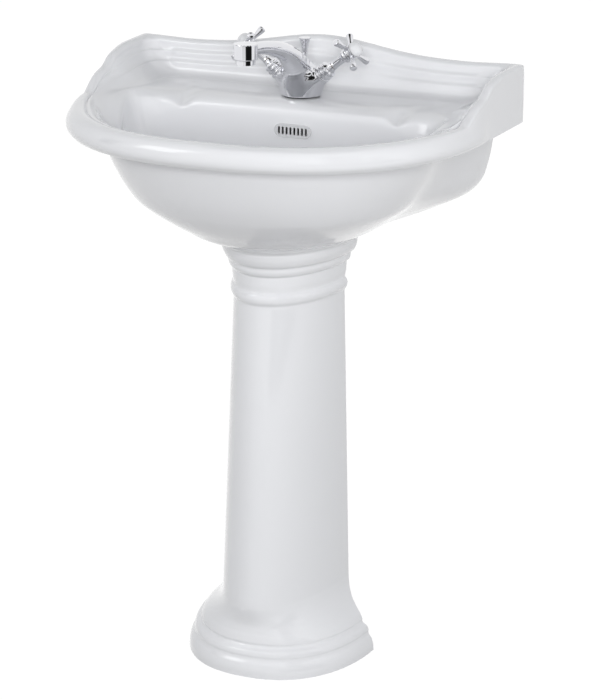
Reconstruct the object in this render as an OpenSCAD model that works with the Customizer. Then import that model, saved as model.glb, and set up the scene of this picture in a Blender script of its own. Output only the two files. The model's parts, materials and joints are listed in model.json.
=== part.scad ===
// Pedestal wash basin with a cross-head mixer tap, pop-up waste and bottle trap.
// +X is the basin's right, +Y points to the wall, +Z is up, and the floor is Z = 0.
// The sections below are drawn with Y = 0 at the wall and then moved by half the depth.

/* [Basin] */
// Width of the basin along the wall
basin_w = 600; // [570:1:640]
// Depth of the basin from the wall to the front of the rim
basin_d = 444; // [430:1:470]
// Height from the pedestal's top to the top of the rim
basin_h = 184; // [178:1:200]
// Height of the rim's outer face
fascia_h = 32.4; // [28:0.1:40]
// How far the rim's face swells past its lower edge
rim_bulge = 6; // [3:0.5:8]
// Width of the rolled rim
rim_roll = 24; // [20:0.5:28]
// How far the rim's sides lie inside the basin's width at the wall
rim_waist = 5; // [2:0.5:10]
// Distance from the wall to where the rim's sides start to curve
rim_straight = 134.6; // [120:0.1:150]
// Roundness of the rim's plan, where 2 is an ellipse
rim_power = 2.3; // [2:0.05:2.6]
// Height of the upstand's corners above the rim
upstand_h = 50; // [40:1:60]
// Lowest point of the upstand's wave below its corners
wave_dip = 2.6; // [0:0.1:5]
// Height of the upstand's middle above the wave's lowest point
dome_h = 22.5; // [10:0.5:30]
// Half width of the upstand's dome
dome_w = 110; // [80:1:130]
// Half width of the moulded part of the upstand
moulding_w = 240; // [220:1:244]
// Distance from the wall to the bowl's back edge
deck_d = 146; // [142:1:152]
// Drop from the rim's top to the tap deck
deck_drop = 1.5; // [0:0.5:4]
// Depth of the drain grooves through the bowl's back edge
groove_depth = 9; // [4:0.5:10]
// Distance of the drain grooves from the middle
groove_x = 165; // [150:1:180]
// Depth of the bowl below the rim's top
bowl_depth = 160; // [150:1:164]
// Thickness of the china
wall_t = 12; // [10:0.5:14]
// Width of the body's top at the wall
body_top_w = 516; // [500:1:530]
// Gap in plan between the front of the rim and the body's top
rim_overhang = 37; // [30:1:45]

/* [Pedestal] */
// Height of the pedestal
pedestal_h = 629; // [560:1:680]
// Half width of the shaft at its open back
shaft_a = 75.8; // [70:0.1:85]
// Depth of the shaft in front of its widest line, at the top
shaft_b = 123.5; // [115:0.5:130]
// How much deeper the shaft is at the floor than at the top
shaft_rake = 50; // [30:1:60]
// Distance from the wall to the shaft's open back
shaft_gap = 118; // [115:0.5:125]
// Half width of the foot's section before its flare
foot_a = 89.4; // [85:0.1:95]
// Half depth of the foot's section before its flare
foot_b = 137.5; // [132:0.5:142]
// Distance from the wall to the foot's open back, cut forward to clear a skirting board
foot_gap = 148.5; // [146:0.5:152]
// How far the foot stands out past the shaft
foot_flare = 52; // [45:0.5:60]
// How far the top ring stands out past the shaft
crown_flare = 26; // [22:0.5:30]

/* [Tap] */
// Distance from the wall to the tap
tap_y = 95; // [92:0.5:98]
// Diameter of the tap hole
tap_hole_d = 35; // [34:0.5:36]
// Diameter of the tap's base
tap_base_d = 52; // [48:0.5:56]
// Lean of each valve from upright
valve_splay = 52; // [45:0.5:54]
// Forward lean of each valve
valve_tilt = 4; // [0:0.5:6]
// Height above the deck where the valve axes meet
valve_root_z = 7; // [5:0.5:9]
// Distance along a valve from the meeting point to the end of its arm
arm_l = 40; // [38:0.5:44]
// Diameter of the arm
arm_d = 25; // [24:0.5:28]
// Distance from a valve's meeting point to the middle of its cross handle
cross_l = 101; // [94:0.5:102]
// Reach of a cross handle's spoke
spoke_r = 32; // [26:0.5:34]
// Reach of the spout from the tap's middle to its outlet
spout_reach = 186; // [170:1:190]
// Height of the spout's outlet above the deck
spout_outlet_z = 78; // [70:0.5:84]
// Diameter of the nozzle
nozzle_d = 33; // [30:0.5:36]
// Diameter of the spout's tube
spout_d = 16; // [14:0.5:18]

/* [Waste] */
// Distance from the wall to the waste
waste_y = 208; // [206:1:210]
// Diameter of the waste hole in the china
waste_hole_d = 45; // [44:0.5:46]
// Diameter of the waste's flange
flange_d = 63; // [60:0.5:66]
// Outside diameter of the threaded waste tail
tail_d = 41.9; // [41:0.1:42.5]
// Bore of the waste
waste_bore_d = 35; // [34:0.5:36]
// Width of the overflow grille
grille_w = 56; // [52:1:60]
// Height of the overflow grille
grille_h = 19; // [17:0.5:21]
// Slots in the overflow grille
grille_slots = 8; // [6:1:9]
// Travel of the lift rod
lift_travel = 24; // [10:1:24]
// Distance from the pivot ball to the plug's stem
pivot_in = 27; // [26:0.5:28]
// Diameter of the lift rod
lift_rod_d = 5; // [4:0.5:6]
// Diameter of the trap's outlet pipe
outlet_d = 32; // [30:1:34]

/* [Fits] */
// Gap between pieces that move past each other
slip = 0.4; // [0.3:0.1:0.6]
// Radial running gap of a turning spindle
running = 0.05; // [0.02:0.01:0.1]

/* [Hidden] */
$fn = 64;

china = [0.95, 0.95, 0.96];
chrome = [0.75, 0.76, 0.79];
brass = [0.80, 0.66, 0.35];
rubber = [0.12, 0.12, 0.13];
plastic = [0.88, 0.88, 0.86];
steel = [0.62, 0.63, 0.66];
copper = [0.80, 0.50, 0.35];

// Heights
rim_z = pedestal_h + basin_h;
deck_z = rim_z - deck_drop;
floor_z = rim_z - bowl_depth;
fascia_z = rim_z - fascia_h;

// ---------------------------------------------------------------- curve helpers

function mix(a, b, t) = a + (b - a) * t;
function ease(a, b, x) = let (t = min(1, max(0, (x - a) / (b - a)))) t * t * (3 - 2 * t);
function bump(x, mid, half) = exp(-pow((x - mid) / half, 2));
function signed_pow(x, p) = sign(x) * pow(abs(x), p);

// Smooth curve through points sorted by their first value
function find_span(p, x, i = 0) = (i >= len(p) - 2 || x < p[i + 1][0]) ? i : find_span(p, x, i + 1);
function slope(p, i) =
    let (a = max(0, i - 1), b = min(len(p) - 1, i + 1))
    (p[b][1] - p[a][1]) / (p[b][0] - p[a][0]);
function curve(p, x) =
    let (
        i = find_span(p, x),
        h = p[i + 1][0] - p[i][0],
        t = min(1, max(0, (x - p[i][0]) / h)),
        t2 = t * t,
        t3 = t2 * t
    )
    (2 * t3 - 3 * t2 + 1) * p[i][1] + (t3 - 2 * t2 + t) * slope(p, i) * h
    + (3 * t2 - 2 * t3) * p[i + 1][1] + (t3 - t2) * slope(p, i + 1) * h;

// Closed skin over rings that all have the same number of points
module skin(rings) {
    n = len(rings[0]);
    m = len(rings);
    sides = [
        for (r = [0 : m - 2], i = [0 : n - 1])
            let (a = r * n + i, b = r * n + (i + 1) % n)
            each [[a, b + n, a + n], [a, b, b + n]]
    ];
    start = [for (i = [n - 1 : -1 : 0]) i];
    end = [for (i = [0 : n - 1]) (m - 1) * n + i];
    polyhedron(points = [for (r = rings) each r], faces = concat(sides, [start, end]), convexity = 8);
}

// ---------------------------------------------------------------- basin

side_steps = 8;
front_steps = 32;
back_steps = 26;
side_end = 185;
plan_b = basin_d - rim_bulge - rim_straight;
plan_a = basin_w / 2 - rim_waist;
split_k = (side_end - rim_straight) / plan_b;
split_t = asin(pow(split_k, rim_power / 2));

// Height of the wing above the rim, against the distance from the wall
wing_curve = [[0, 1], [75, 0.99], [100, 0.92], [125, 0.78], [142, 0.56], [165, 0.43], [185, 0.24], [204, 0.02], [222, 0]];
function wing_rise(d) = upstand_h * max(0, curve(wing_curve, d));
function crest_rise(x) =
    upstand_h - wave_dip + wave_dip * ease(0.7, 1, abs(x) * 2 / basin_w)
    + dome_h * exp(-pow(x / dome_w, 2));

// The rim's rolled section: front inset and drop below the rim's top, by angle
roll_mid = rim_roll / 2;
bulge_drop = 20;
function roll_inset(a) =
    roll_mid - (a < 90 ? roll_mid + rim_bulge : roll_mid) * cos(a);
function roll_drop(a) =
    a < 0 ? bulge_drop - (fascia_h - bulge_drop) / sin(48) * sin(a)
    : a < 90 ? bulge_drop * (1 - sin(a))
    : 5.4 * (1 - sin(a));

// The bowl's section at the front and sides: drop below the rim, by share of radius
bowl_fullness = 8;
bowl_lip = 3.3;
lip_drop = 3.7;
floor_fall = 7;
function bowl_drop(share) =
    lip_drop + (bowl_depth - lip_drop - floor_fall) * pow(1 - pow(share, bowl_fullness), bowl_lip)
    + floor_fall * (1 - share);

// Rows of the upper face, from the rim's foot to the bowl's back edge:
// [rim angle or bowl share, side inset at the wing's front, side inset at its back,
//  distance from the wall, share of the rise, drop at the back, step of the moulding, groove]
rim_rows = [
    [-48, 0, 0, 0, 0, fascia_h, 0],
    [-25, -3, 0, 0, 0, 27, 0],
    [0, -4, 0, 0, 0.05, bulge_drop, 0],
    [25, -2, 0, 0, 0.42, 11.5, 0],
    [50, 0, 0.5, 0, 0.86, 4.7, 0],
    [70, 1.5, 1.5, 0.5, 0.975, 1.2, 0],
    [90, 7, 7, 6, 1, 0, 0],
    [115, 12, 12, 12, 0.985, 0.5, 0],
    [140, 14.5, 14.5, 16, 0.94, 1.9, 0],
    [162, 15.5, 15.5, 17, 0.87, 3.7, 0]
];
face_rows = [
    [0.985, 16, 17, 17.8, 0.74, 1, 0, 0],
    [0.975, 16.5, 18.5, 19, 0.655, 1, 2.5, 0],
    [0.965, 17, 20, 20.3, 0.62, 1, 2, 0],
    [0.955, 18, 24, 21.6, 0.46, 1, 1, 0],
    [0.945, 19, 28, 23.5, 0.365, 1, 3, 0],
    [0.935, 20, 32, 25, 0.33, 1, 2.5, 0],
    [0.92, 23, 41, 28, 0.17, 1, 1, 0],
    [0.905, 26, 51, 33, 0.06, 1, 0, 0],
    [0.89, 30, 60, 43, 0, 1, 0, 0],
    [0.87, 38, 63, 62, 0, deck_drop, 0, 0],
    [0.86, 41, 66, 92, 0, deck_drop + 0.2, 0, 0.08],
    [0.85, 44, 70, deck_d - 30, 0, deck_drop + 0.8, 0, 0.35],
    [0.83, 49, 68, deck_d - 17, 0, 4.5, 0, 0.8],
    [0.81, 53, 62, deck_d - 8, 0, 8.2, 0, 1],
    [0.80, 56.5, 61, deck_d - 2.5, 0, 12.5, 0, 0.9],
    [0.79, 59, 62, deck_d, 0, 18.5, 0, 0.5]
];

// Half width of the outline, the wing's inset and the blend from the rim to the back
function half_w(d) = mix(basin_w / 2, plan_a, min(1, d / rim_straight));
function side_inset(row, d) = mix(row[2], row[1], ease(110, 180, d));
function back_share(t) = 1 - ease(10, 34, min(t, 180 - t));

// Rounds the corner of a plan outline between its back and its side
function round_corner(p, cx, cy, r) =
    let (
        u = cx - abs(p[0]),
        v = cy - p[1],
        s = max(u, v),
        q = u > v ? 45 + 45 * s / r : 45 - 45 * s / r,
        bend = u > v ? [0, p[1] - cy] : [abs(p[0]) - cx, 0],
        c = [cx - r, cy - r] + bend
    )
    s >= r ? p : [sign(p[0]) * (c[0] + r * cos(q)), c[1] + r * sin(q)];

function front_point(inset, t) = [
    (plan_a - inset) * signed_pow(cos(t), 2 / rim_power),
    -rim_straight - (plan_b - inset) * pow(sin(t), 2 / rim_power)
];
waste_c = [0, -waste_y];

// Plan of a row at the wing and back: side points, then front, side and back
function side_d(row, i) =
    mix(row[3], rim_straight + (plan_b - row[1]) * split_k, i / side_steps);
function side_plan(row, i) = let (d = side_d(row, i)) [half_w(d) - side_inset(row, d)
    - (d > rim_straight
        ? (plan_a - side_inset(row, d)) * (1 - pow(1 - pow((d - rim_straight) / (plan_b - side_inset(row, d)),
            rim_power), 1 / rim_power))
        : 0), -d];
function back_plan(row, xc, j) =
    let (x = -xc + 2 * xc * j / back_steps)
    [x, -row[3] - row[6] * ease(moulding_w + 6, moulding_w - 6, abs(x))];

// Height of a row at the wing and back
function grooves(row, x, d) =
    len(row) > 7
        ? row[7] * groove_depth * bump(abs(x), groove_x + 30 * ease(138, 90, row[3]), 14)
            * ease(row[3] + 34, row[3] + 4, d)
        : 0;
function row_z(row, rise, x, d) = rim_z - row[5] + row[4] * rise - grooves(row, x, d);

function mirrored(half) = concat(half, [for (i = [len(half) - 2 : -1 : 0]) [-half[i][0], half[i][1], half[i][2]]]);

// One row of the upper face
function upper_row(row, in_bowl, corner_r) =
    let (
        xc = half_w(row[3]) - side_inset(row, row[3]),
        sides = [
            for (i = [0 : side_steps - 1])
                let (p = round_corner(side_plan(row, i), xc, -row[3], corner_r))
                [p[0], p[1], row_z(row, wing_rise(-p[1]), p[0], -p[1])]
        ],
        fronts = [
            for (i = [0 : front_steps / 2])
                let (
                    t = mix(split_t, 90, 2 * i / front_steps),
                    w = back_share(t),
                    a = front_point(row[1], t),
                    b = in_bowl
                        ? mix(waste_c, front_point(rim_roll, t), row[0])
                        : front_point(roll_inset(row[0]), t),
                    zb = rim_z - (in_bowl ? bowl_drop(row[0]) : roll_drop(row[0])),
                    p = mix(b, a, w)
                )
                [p[0], p[1], mix(zb, row_z(row, wing_rise(-p[1]), p[0], -p[1]), w)]
        ],
        backs = [
            for (j = [1 : back_steps - 1])
                let (p = round_corner(back_plan(row, xc, j), xc, -row[3], corner_r))
                [p[0], p[1], row_z(row, crest_rise(p[0] / xc * basin_w / 2), p[0], -p[1])]
        ]
    )
    concat(mirrored(concat(sides, fronts)), backs);

// Rows inside the bowl: [drop, share of the back's distance, share of the side's distance,
//  squareness of the plan, share of radius at the front]
bowl_rows = [
    [34, 0.98, 0.955, 7, 0.765],
    [52, 0.965, 0.93, 6.5, 0.735],
    [77, 0.95, 0.89, 6, 0.70],
    [102, 0.93, 0.835, 5, 0.65],
    [124, 0.90, 0.755, 4, 0.59],
    [142, 0.86, 0.63, 3, 0.50],
    [153, 0.80, 0.44, 2.4, 0.38]
];
bowl_side = basin_w / 2 - 59;
function oval_r(a, x_r, y_r, power) =
    pow(pow(abs(cos(a)) / x_r, power) + pow(abs(sin(a)) / y_r, power), -1 / power);
function front_step(i) = min(front_steps, max(0, i - side_steps));
function bowl_ring(edge, r) = [
    for (i = [0 : len(edge) - 1])
        let (
            t = mix(split_t, 180 - split_t, front_step(i) / front_steps),
            w = i > 2 * side_steps + front_steps ? 1 : back_share(t),
            out = [edge[i][0], edge[i][1]] - waste_c,
            a = atan2(out[1], out[0]),
            back = oval_r(a, bowl_side * r[2], (waste_y - deck_d) * r[1], r[3]) * [cos(a), sin(a)],
            front = (front_point(rim_roll, t) - waste_c) * r[4],
            p = mix(front, back, w) + waste_c
        )
        [p[0], p[1], rim_z - mix(bowl_drop(r[4]), r[0], w)]
];
function floor_ring(edge, radius, z) = [
    for (q = edge)
        let (a = atan2(q[1] + waste_y, q[0]))
        [radius * cos(a), -waste_y + radius * sin(a), z]
];

// The body under the rim: how its plan grows from the seat to the rim's underside
seat_half_w = 133;
seat_side = 104;
seat_depth = 261;
seat_straight = 120;
body_straight = 180;
body_power = 2.1;
hip_swell = [[0, 0], [0.05, 0.15], [0.15, 0.43], [0.26, 0.69], [0.4, 0.85], [0.58, 0.93], [0.8, 0.98], [1, 1]];
side_swell = [[0, 0], [0.05, 0.16], [0.15, 0.33], [0.26, 0.49], [0.4, 0.675], [0.58, 0.81], [0.8, 0.927], [1, 1]];
front_swell = [
    [0, 0], [0.03, 0.16], [0.07, 0.3], [0.15, 0.43], [0.22, 0.54], [0.31, 0.655],
    [0.41, 0.75], [0.58, 0.862], [0.8, 0.957], [1, 1]
];
function hip_x(s) = mix(seat_half_w, body_top_w / 2, curve(hip_swell, s));
function bowl_x(s) = mix(seat_side, body_top_w / 2 - 12, curve(side_swell, s));
function body_depth(s) = mix(seat_depth, basin_d - rim_overhang, curve(front_swell, s));
function body_start(s) = mix(seat_straight, body_straight, ease(0, 0.4, s));
function body_x(s, d) = mix(hip_x(s), bowl_x(s), ease(0, body_start(s), d));
function body_ring(s, z) = concat(
    mirrored(concat(
        [for (i = [0 : side_steps - 1]) let (d = body_start(s) * i / side_steps) [body_x(s, d), -d, z]],
        [
            for (i = [0 : front_steps / 2])
                let (t = 180 * i / front_steps)
                [
                    bowl_x(s) * signed_pow(cos(t), 2 / body_power),
                    -body_start(s) - (body_depth(s) - body_start(s)) * pow(sin(t), 2 / body_power),
                    z
                ]
        ]
    )),
    [for (j = [1 : back_steps - 1]) [hip_x(s) * (2 * j / back_steps - 1), 0, z]]
);
body_levels = [0, 0.03, 0.07, 0.13, 0.2, 0.29, 0.4, 0.54, 0.7, 0.86, 0.96];
body_top_z = fascia_z + 3;
function body_z(s) = mix(pedestal_h, body_top_z, s);

under_row = [-55, 2, 2, 0, 0, fascia_h + 1.3, 0];
edge_ring = upper_row(face_rows[len(face_rows) - 1], true, 29);
function corner_r(row) = row[3] > 140 ? 29 : mix(2.5, 26, ease(8, 21, row[3]));

module china_form() {
    skin(concat(
        [for (s = body_levels) body_ring(s, body_z(s))],
        [upper_row(under_row, false, 1)],
        [for (row = rim_rows) upper_row(row, false, corner_r(row))],
        [for (row = face_rows) upper_row(row, true, corner_r(row))],
        [for (r = bowl_rows) bowl_ring(edge_ring, r)],
        [floor_ring(edge_ring, flange_d / 2 + 6, floor_z + 0.8), floor_ring(edge_ring, flange_d / 2 + 3, floor_z)]
    ));
}

// Space under the deck for the tap's fixings and the supply pipes, open at the bottom
cavity_d = 122;
deck_t = 14;
cavity_steps = 8;
cavity_levels = [0, 0.07, 0.15, 0.25, 0.4, 0.6, 0.8, 1];
function cavity_ring(s, z) = mirrored_ring([
    for (i = [0 : cavity_steps])
        let (d = mix(wall_t, cavity_d, i / cavity_steps))
        [body_x(s, d) - wall_t, -d, z]
]);
function mirrored_ring(half) = concat(half, [for (i = [len(half) - 1 : -1 : 0]) [-half[i][0], half[i][1], half[i][2]]]);
module cavity() {
    skin(concat(
        [cavity_ring(0, pedestal_h - 1)],
        [for (s = cavity_levels) cavity_ring(s, body_z(s) + (s == 0 ? 0.5 : 0))],
        [cavity_ring(1, deck_z - deck_t)]
    ));
}

// Overflow: mouth behind the grille, channel in the china and outlet to the waste hole
grille_z = rim_z - 41.5;
grille_x = 10.5;
channel_w = 44;
channel_d = 8;
channel_y = cavity_d + 6 + channel_d / 2;
channel_floor = 8;
recess_t = 2;
module overflow_space() {
    mouth_w = grille_w - 8;
    mouth_h = grille_h - 7;
    translate([grille_x, -channel_y, grille_z])
        rotate([90, 0, 0])
            slot(mouth_w, mouth_h, 30);
    translate([-channel_w / 2, -channel_y - channel_d / 2, pedestal_h + channel_floor])
        cube([channel_w, channel_d, grille_z - pedestal_h - channel_floor + mouth_h / 2]);
    translate([-waste_hole_d / 4, -waste_y, pedestal_h + channel_floor])
        cube([waste_hole_d / 2, waste_y - channel_y, channel_d]);
}
// Keeps a smooth shell and what is cut from it as one faceted solid
module one_mesh() {
    minkowski() children();
}
module slot(w, h, l) {
    linear_extrude(l)
        slot_outline(w, h);
}
module slot_outline(w, h) {
    translate([-(w - h) / 2, 0]) circle(d = h);
    translate([(w - h) / 2, 0]) circle(d = h);
    square([w - h, h], center = true);
}

wall_bolt_x = 140;
wall_bolt_z = rim_z - 72;
wall_bolt_d = 14;
module basin() {
    color(china)
        from_wall()
            difference() {
                one_mesh() difference() {
                    china_form();
                    cavity();
                    overflow_space();
                }
                at_waste(pedestal_h - 1) cylinder(d = waste_hole_d, h = bowl_depth);
                at_waste(floor_z - recess_t) cylinder(d = flange_d + 2, h = 10);
                at_tap(-deck_t - 5) cylinder(d = tap_hole_d, h = deck_t + 10);
                for (x = [-wall_bolt_x, wall_bolt_x])
                    translate([x, 1, wall_bolt_z])
                        rotate([90, 0, 0])
                            cylinder(d = wall_bolt_d, h = wall_t + 2);
            }
}

module from_wall() {
    translate([0, basin_d / 2, 0]) children();
}
module at_waste(z) {
    translate([0, -waste_y, z]) children();
}
module at_tap(z) {
    translate([0, -tap_y, deck_z + z]) children();
}

// ---------------------------------------------------------------- pedestal

// How far the pedestal stands out past its shaft: [height, part of the foot's flare]
foot_h = 100;
foot_curve = [
    [0, 1], [10, 0.985], [19, 0.93], [24, 0.86], [28, 0.835], [31, 0.84], [37, 0.79],
    [41, 0.68], [44, 0.645], [47, 0.65], [54, 0.575], [61, 0.47], [72, 0.33], [85, 0.25], [foot_h, 0.22]
];
// [depth below the top, part of the crown's flare]
crown_h = 91;
crown_curve = [
    [0, 1], [5.5, 0.985], [8.8, 0.87], [11, 0.82], [14.3, 0.81], [21, 0.75], [28.6, 0.6], [32, 0.46],
    [34, 0.43], [38.5, 0.41], [43, 0.33], [46, 0.21], [48.5, 0.19], [59.5, 0.16], [67, 0.11], [69.5, 0.12],
    [72.5, 0.2], [78, 0.25], [83.5, 0.21], [88, 0.1], [crown_h, 0.08]
];
function flare(z) =
    z < foot_h ? foot_flare * curve(foot_curve, z)
    : z > pedestal_h - crown_h ? crown_flare * curve(crown_curve, pedestal_h - z)
    : mix(foot_flare * 0.22, crown_flare * 0.08, (z - foot_h) / (pedestal_h - crown_h - foot_h));
pedestal_steps = 32;
// Section of the pedestal by height: the foot's section changes into the shaft's
function shaft_share(z) = ease(40, 105, z);
shaft_mid = 114;
foot_mid = 119.6;
shaft_power = 2;
function section_a(z) = mix(foot_a, shaft_a, shaft_share(z));
function section_b(z) = mix(foot_b, shaft_b + shaft_rake * (1 - z / pedestal_h), shaft_share(z));
function section_mid(z) = mix(foot_mid, shaft_mid, shaft_share(z));
function section_gap(z) = mix(foot_gap, shaft_gap, shaft_share(z));
function section_power(z) = mix(rim_power, shaft_power, shaft_share(z));
function oval_point(z, out, i) =
    let (
        a = section_a(z) + out,
        b = section_b(z) + out,
        n = section_power(z),
        t0 = asin(pow((section_gap(z) - section_mid(z)) / b, n / 2)),
        t = mix(t0, 180 - t0, i / pedestal_steps)
    )
    [a * signed_pow(cos(t), 2 / n), -section_mid(z) - b * pow(sin(t), 2 / n)];
function shell_ring(z) = [
    for (i = [0 : pedestal_steps]) let (p = oval_point(z, flare(z), i)) [p[0], p[1], z],
    for (i = [pedestal_steps : -1 : 0]) let (p = oval_point(z, flare(z) - wall_t, i)) [p[0], p[1], z]
];
pedestal_levels = concat(
    [for (p = foot_curve) p[0]],
    [for (k = [1 : 6]) mix(foot_h, pedestal_h - crown_h, k / 7)],
    [for (i = [len(crown_curve) - 1 : -1 : 0]) pedestal_h - crown_curve[i][0]]
);
// Skin of an open shell: each ring runs out along its outer face and back along its inner one
module shell_skin(rings) {
    n = len(rings[0]);
    m = len(rings);
    h = n / 2;
    sides = [
        for (r = [0 : m - 2], i = [0 : n - 1])
            let (a = r * n + i, b = r * n + (i + 1) % n)
            each [[a, b + n, a + n], [a, b, b + n]]
    ];
    caps = [
        for (i = [0 : h - 2])
            let (a = i, b = i + 1, c = n - 2 - i, d = n - 1 - i, k = (m - 1) * n)
            each [[c, b, a], [d, c, a], [k + a, k + b, k + c], [k + a, k + c, k + d]]
    ];
    polyhedron(points = [for (r = rings) each r], faces = concat(sides, caps), convexity = 8);
}
module pedestal() {
    color(china)
        from_wall()
            shell_skin([for (z = pedestal_levels) shell_ring(z)]);
}

// ---------------------------------------------------------------- overflow grille

grille_t = 2;
grille_end = 7.4;
grille_slot_w = 3.2;
grille_y = deck_d + 2.6;
module overflow_grille() {
    slot_pitch = (grille_w - 2 * grille_end) / (grille_slots - 1);
    color(chrome)
        from_wall()
            translate([grille_x, -grille_y, grille_z])
                rotate([90, 0, 0])
                    difference() {
                        slot(grille_w, grille_h, grille_t);
                        for (i = [0 : grille_slots - 1])
                            translate([(i - (grille_slots - 1) / 2) * slot_pitch, 0, -1])
                                rotate([0, 0, 90])
                                    slot(grille_h - 8, grille_slot_w, grille_t + 2);
                    }
}

// ---------------------------------------------------------------- waste

tail_r = tail_d / 2;
flange_t = 3;
seal_t = 1;
flange_z = floor_z - recess_t + seal_t;
tail_bottom = pedestal_h - 39;
washer_t = 5;
nut_t = 12;
thread_gap = 0.25;
port_drop = 61;
port_z = pedestal_h - port_drop;
port_r = 12;
ball_r = 7.5;
pivot_rod_d = 4;
tee_r = 24.5;
tee_drop = 88;
tee_bottom = pedestal_h - tee_drop;
outlet_r = outlet_d / 2;
tee_spigot_l = 26;
lift_y = tap_y - 12;
pivot_out = waste_y - pivot_in - lift_y;
pivot_angle = lift_travel / pivot_out * 180 / PI;
plug_travel = pivot_in * lift_travel / pivot_out;

module ring(r_out, r_in, h) {
    difference() {
        cylinder(r = r_out, h = h);
        translate([0, 0, -1]) cylinder(r = r_in, h = h + 2);
    }
}
module hex_nut(across, bore_r, h) {
    difference() {
        cylinder(d = across / cos(30), h = h, $fn = 6);
        translate([0, 0, -1]) cylinder(r = bore_r, h = h + 2);
    }
}

module waste_flange() {
    seat_r = waste_bore_d / 2 + 4.5;
    color(chrome)
        from_wall()
            at_waste(0)
                difference() {
                    union() {
                        translate([0, 0, flange_z])
                            rotate_extrude()
                                polygon([
                                    [0, 0], [flange_d / 2, 0], [flange_d / 2, 1],
                                    [flange_d / 2 - 3, flange_t - 0.4], [seat_r + 1, flange_t], [0, flange_t]
                                ]);
                        translate([0, 0, tail_bottom]) cylinder(r = tail_r, h = flange_z - tail_bottom + 1);
                    }
                    translate([0, 0, tail_bottom - 1]) cylinder(d = waste_bore_d, h = flange_z - tail_bottom + 10);
                    translate([0, 0, flange_z + 1]) cylinder(r = seat_r, h = flange_t);
                    translate([-8, -tail_r - 1, pedestal_h + channel_floor])
                        cube([16, 2 * tail_r + 2, channel_d]);
                }
}
module flange_seal() {
    color(rubber)
        from_wall()
            at_waste(floor_z - recess_t)
                ring(flange_d / 2 - 1, tail_r + thread_gap, seal_t);
}
module waste_washer() {
    washer_r = 31;
    color(rubber)
        from_wall()
            at_waste(pedestal_h - washer_t)
                ring(washer_r, tail_r + thread_gap, washer_t);
}
module waste_backnut() {
    nut_across = 56;
    color(brass)
        from_wall()
            at_waste(pedestal_h - washer_t - nut_t)
                hex_nut(nut_across, tail_r + thread_gap, nut_t);
}
module waste_tee() {
    socket_h = 16;
    color(chrome)
        from_wall()
            at_waste(0)
                difference() {
                    union() {
                        translate([0, 0, tee_bottom])
                            cylinder(r = tee_r, h = tail_bottom + socket_h - tee_bottom);
                        translate([0, 0, tee_bottom - tee_spigot_l])
                            cylinder(r = outlet_r, h = tee_spigot_l + 1);
                        translate([0, 0, port_z])
                            rotate([-90, 0, 0])
                                cylinder(r = port_r, h = pivot_in + ball_r + 1);
                    }
                    translate([0, 0, tail_bottom]) cylinder(r = tail_r + thread_gap, h = socket_h + 1);
                    translate([0, 0, tee_bottom + 6]) cylinder(d = waste_bore_d, h = tail_bottom - tee_bottom);
                    translate([0, 0, tee_bottom - tee_spigot_l - 1])
                        cylinder(r = outlet_r - 2, h = tee_spigot_l + 10);
                    translate([0, 0, port_z])
                        rotate([-90, 0, 0])
                            cylinder(r = ball_r + running, h = pivot_in + ball_r + 3);
                }
}
module plug() {
    head_r = waste_bore_d / 2 + 3.5;
    head_z = flange_z + 1 + 0.3 + seal_t + plug_travel;
    stem_r = 4;
    foot_z = port_z + pivot_in * sin(pivot_angle / 2) - 7;
    color(chrome)
        from_wall()
            at_waste(0)
                difference() {
                    union() {
                        translate([0, 0, head_z])
                            rotate_extrude()
                                polygon([
                                    [0, -3], [head_r - 4.8, -3], [head_r - 4, 0], [head_r, 0], [head_r, 1.5],
                                    [head_r - 1.5, 3], [head_r * 0.6, 4.6], [0, 5.4]
                                ]);
                        translate([0, 0, foot_z]) cylinder(r = stem_r, h = head_z - foot_z);
                    }
                    translate([0, -10, foot_z + 7])
                        rotate([-90, 0, 0])
                            cylinder(d = pivot_rod_d + 2, h = 20);
                }
}
module plug_seal() {
    head_r = waste_bore_d / 2 + 3.5;
    color(rubber)
        from_wall()
            at_waste(flange_z + 1 + 0.3 + plug_travel)
                ring(head_r - 0.5, head_r - 2.8, seal_t);
}
module at_pivot() {
    translate([0, -waste_y + pivot_in, port_z]) children();
}
module pivot_rod() {
    color(steel)
        from_wall()
            at_pivot()
                rotate([-90 - pivot_angle / 2, 0, 0])
                    union() {
                        sphere(r = ball_r);
                        translate([0, 0, -pivot_in - 4]) cylinder(d = pivot_rod_d, h = pivot_in + 4);
                        cylinder(d = pivot_rod_d, h = pivot_out + 10);
                    }
}
module pivot_nut() {
    color(chrome)
        from_wall()
            at_pivot()
                rotate([-90, 0, 0])
                    difference() {
                        cylinder(r = port_r + 3, h = ball_r + 5);
                        translate([0, 0, -1]) cylinder(r = port_r + thread_gap, h = ball_r + 2);
                        translate([0, 0, -1]) cylinder(r = ball_r - 1.5, h = ball_r + 8);
                    }
}

// ---------------------------------------------------------------- lift rod

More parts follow.
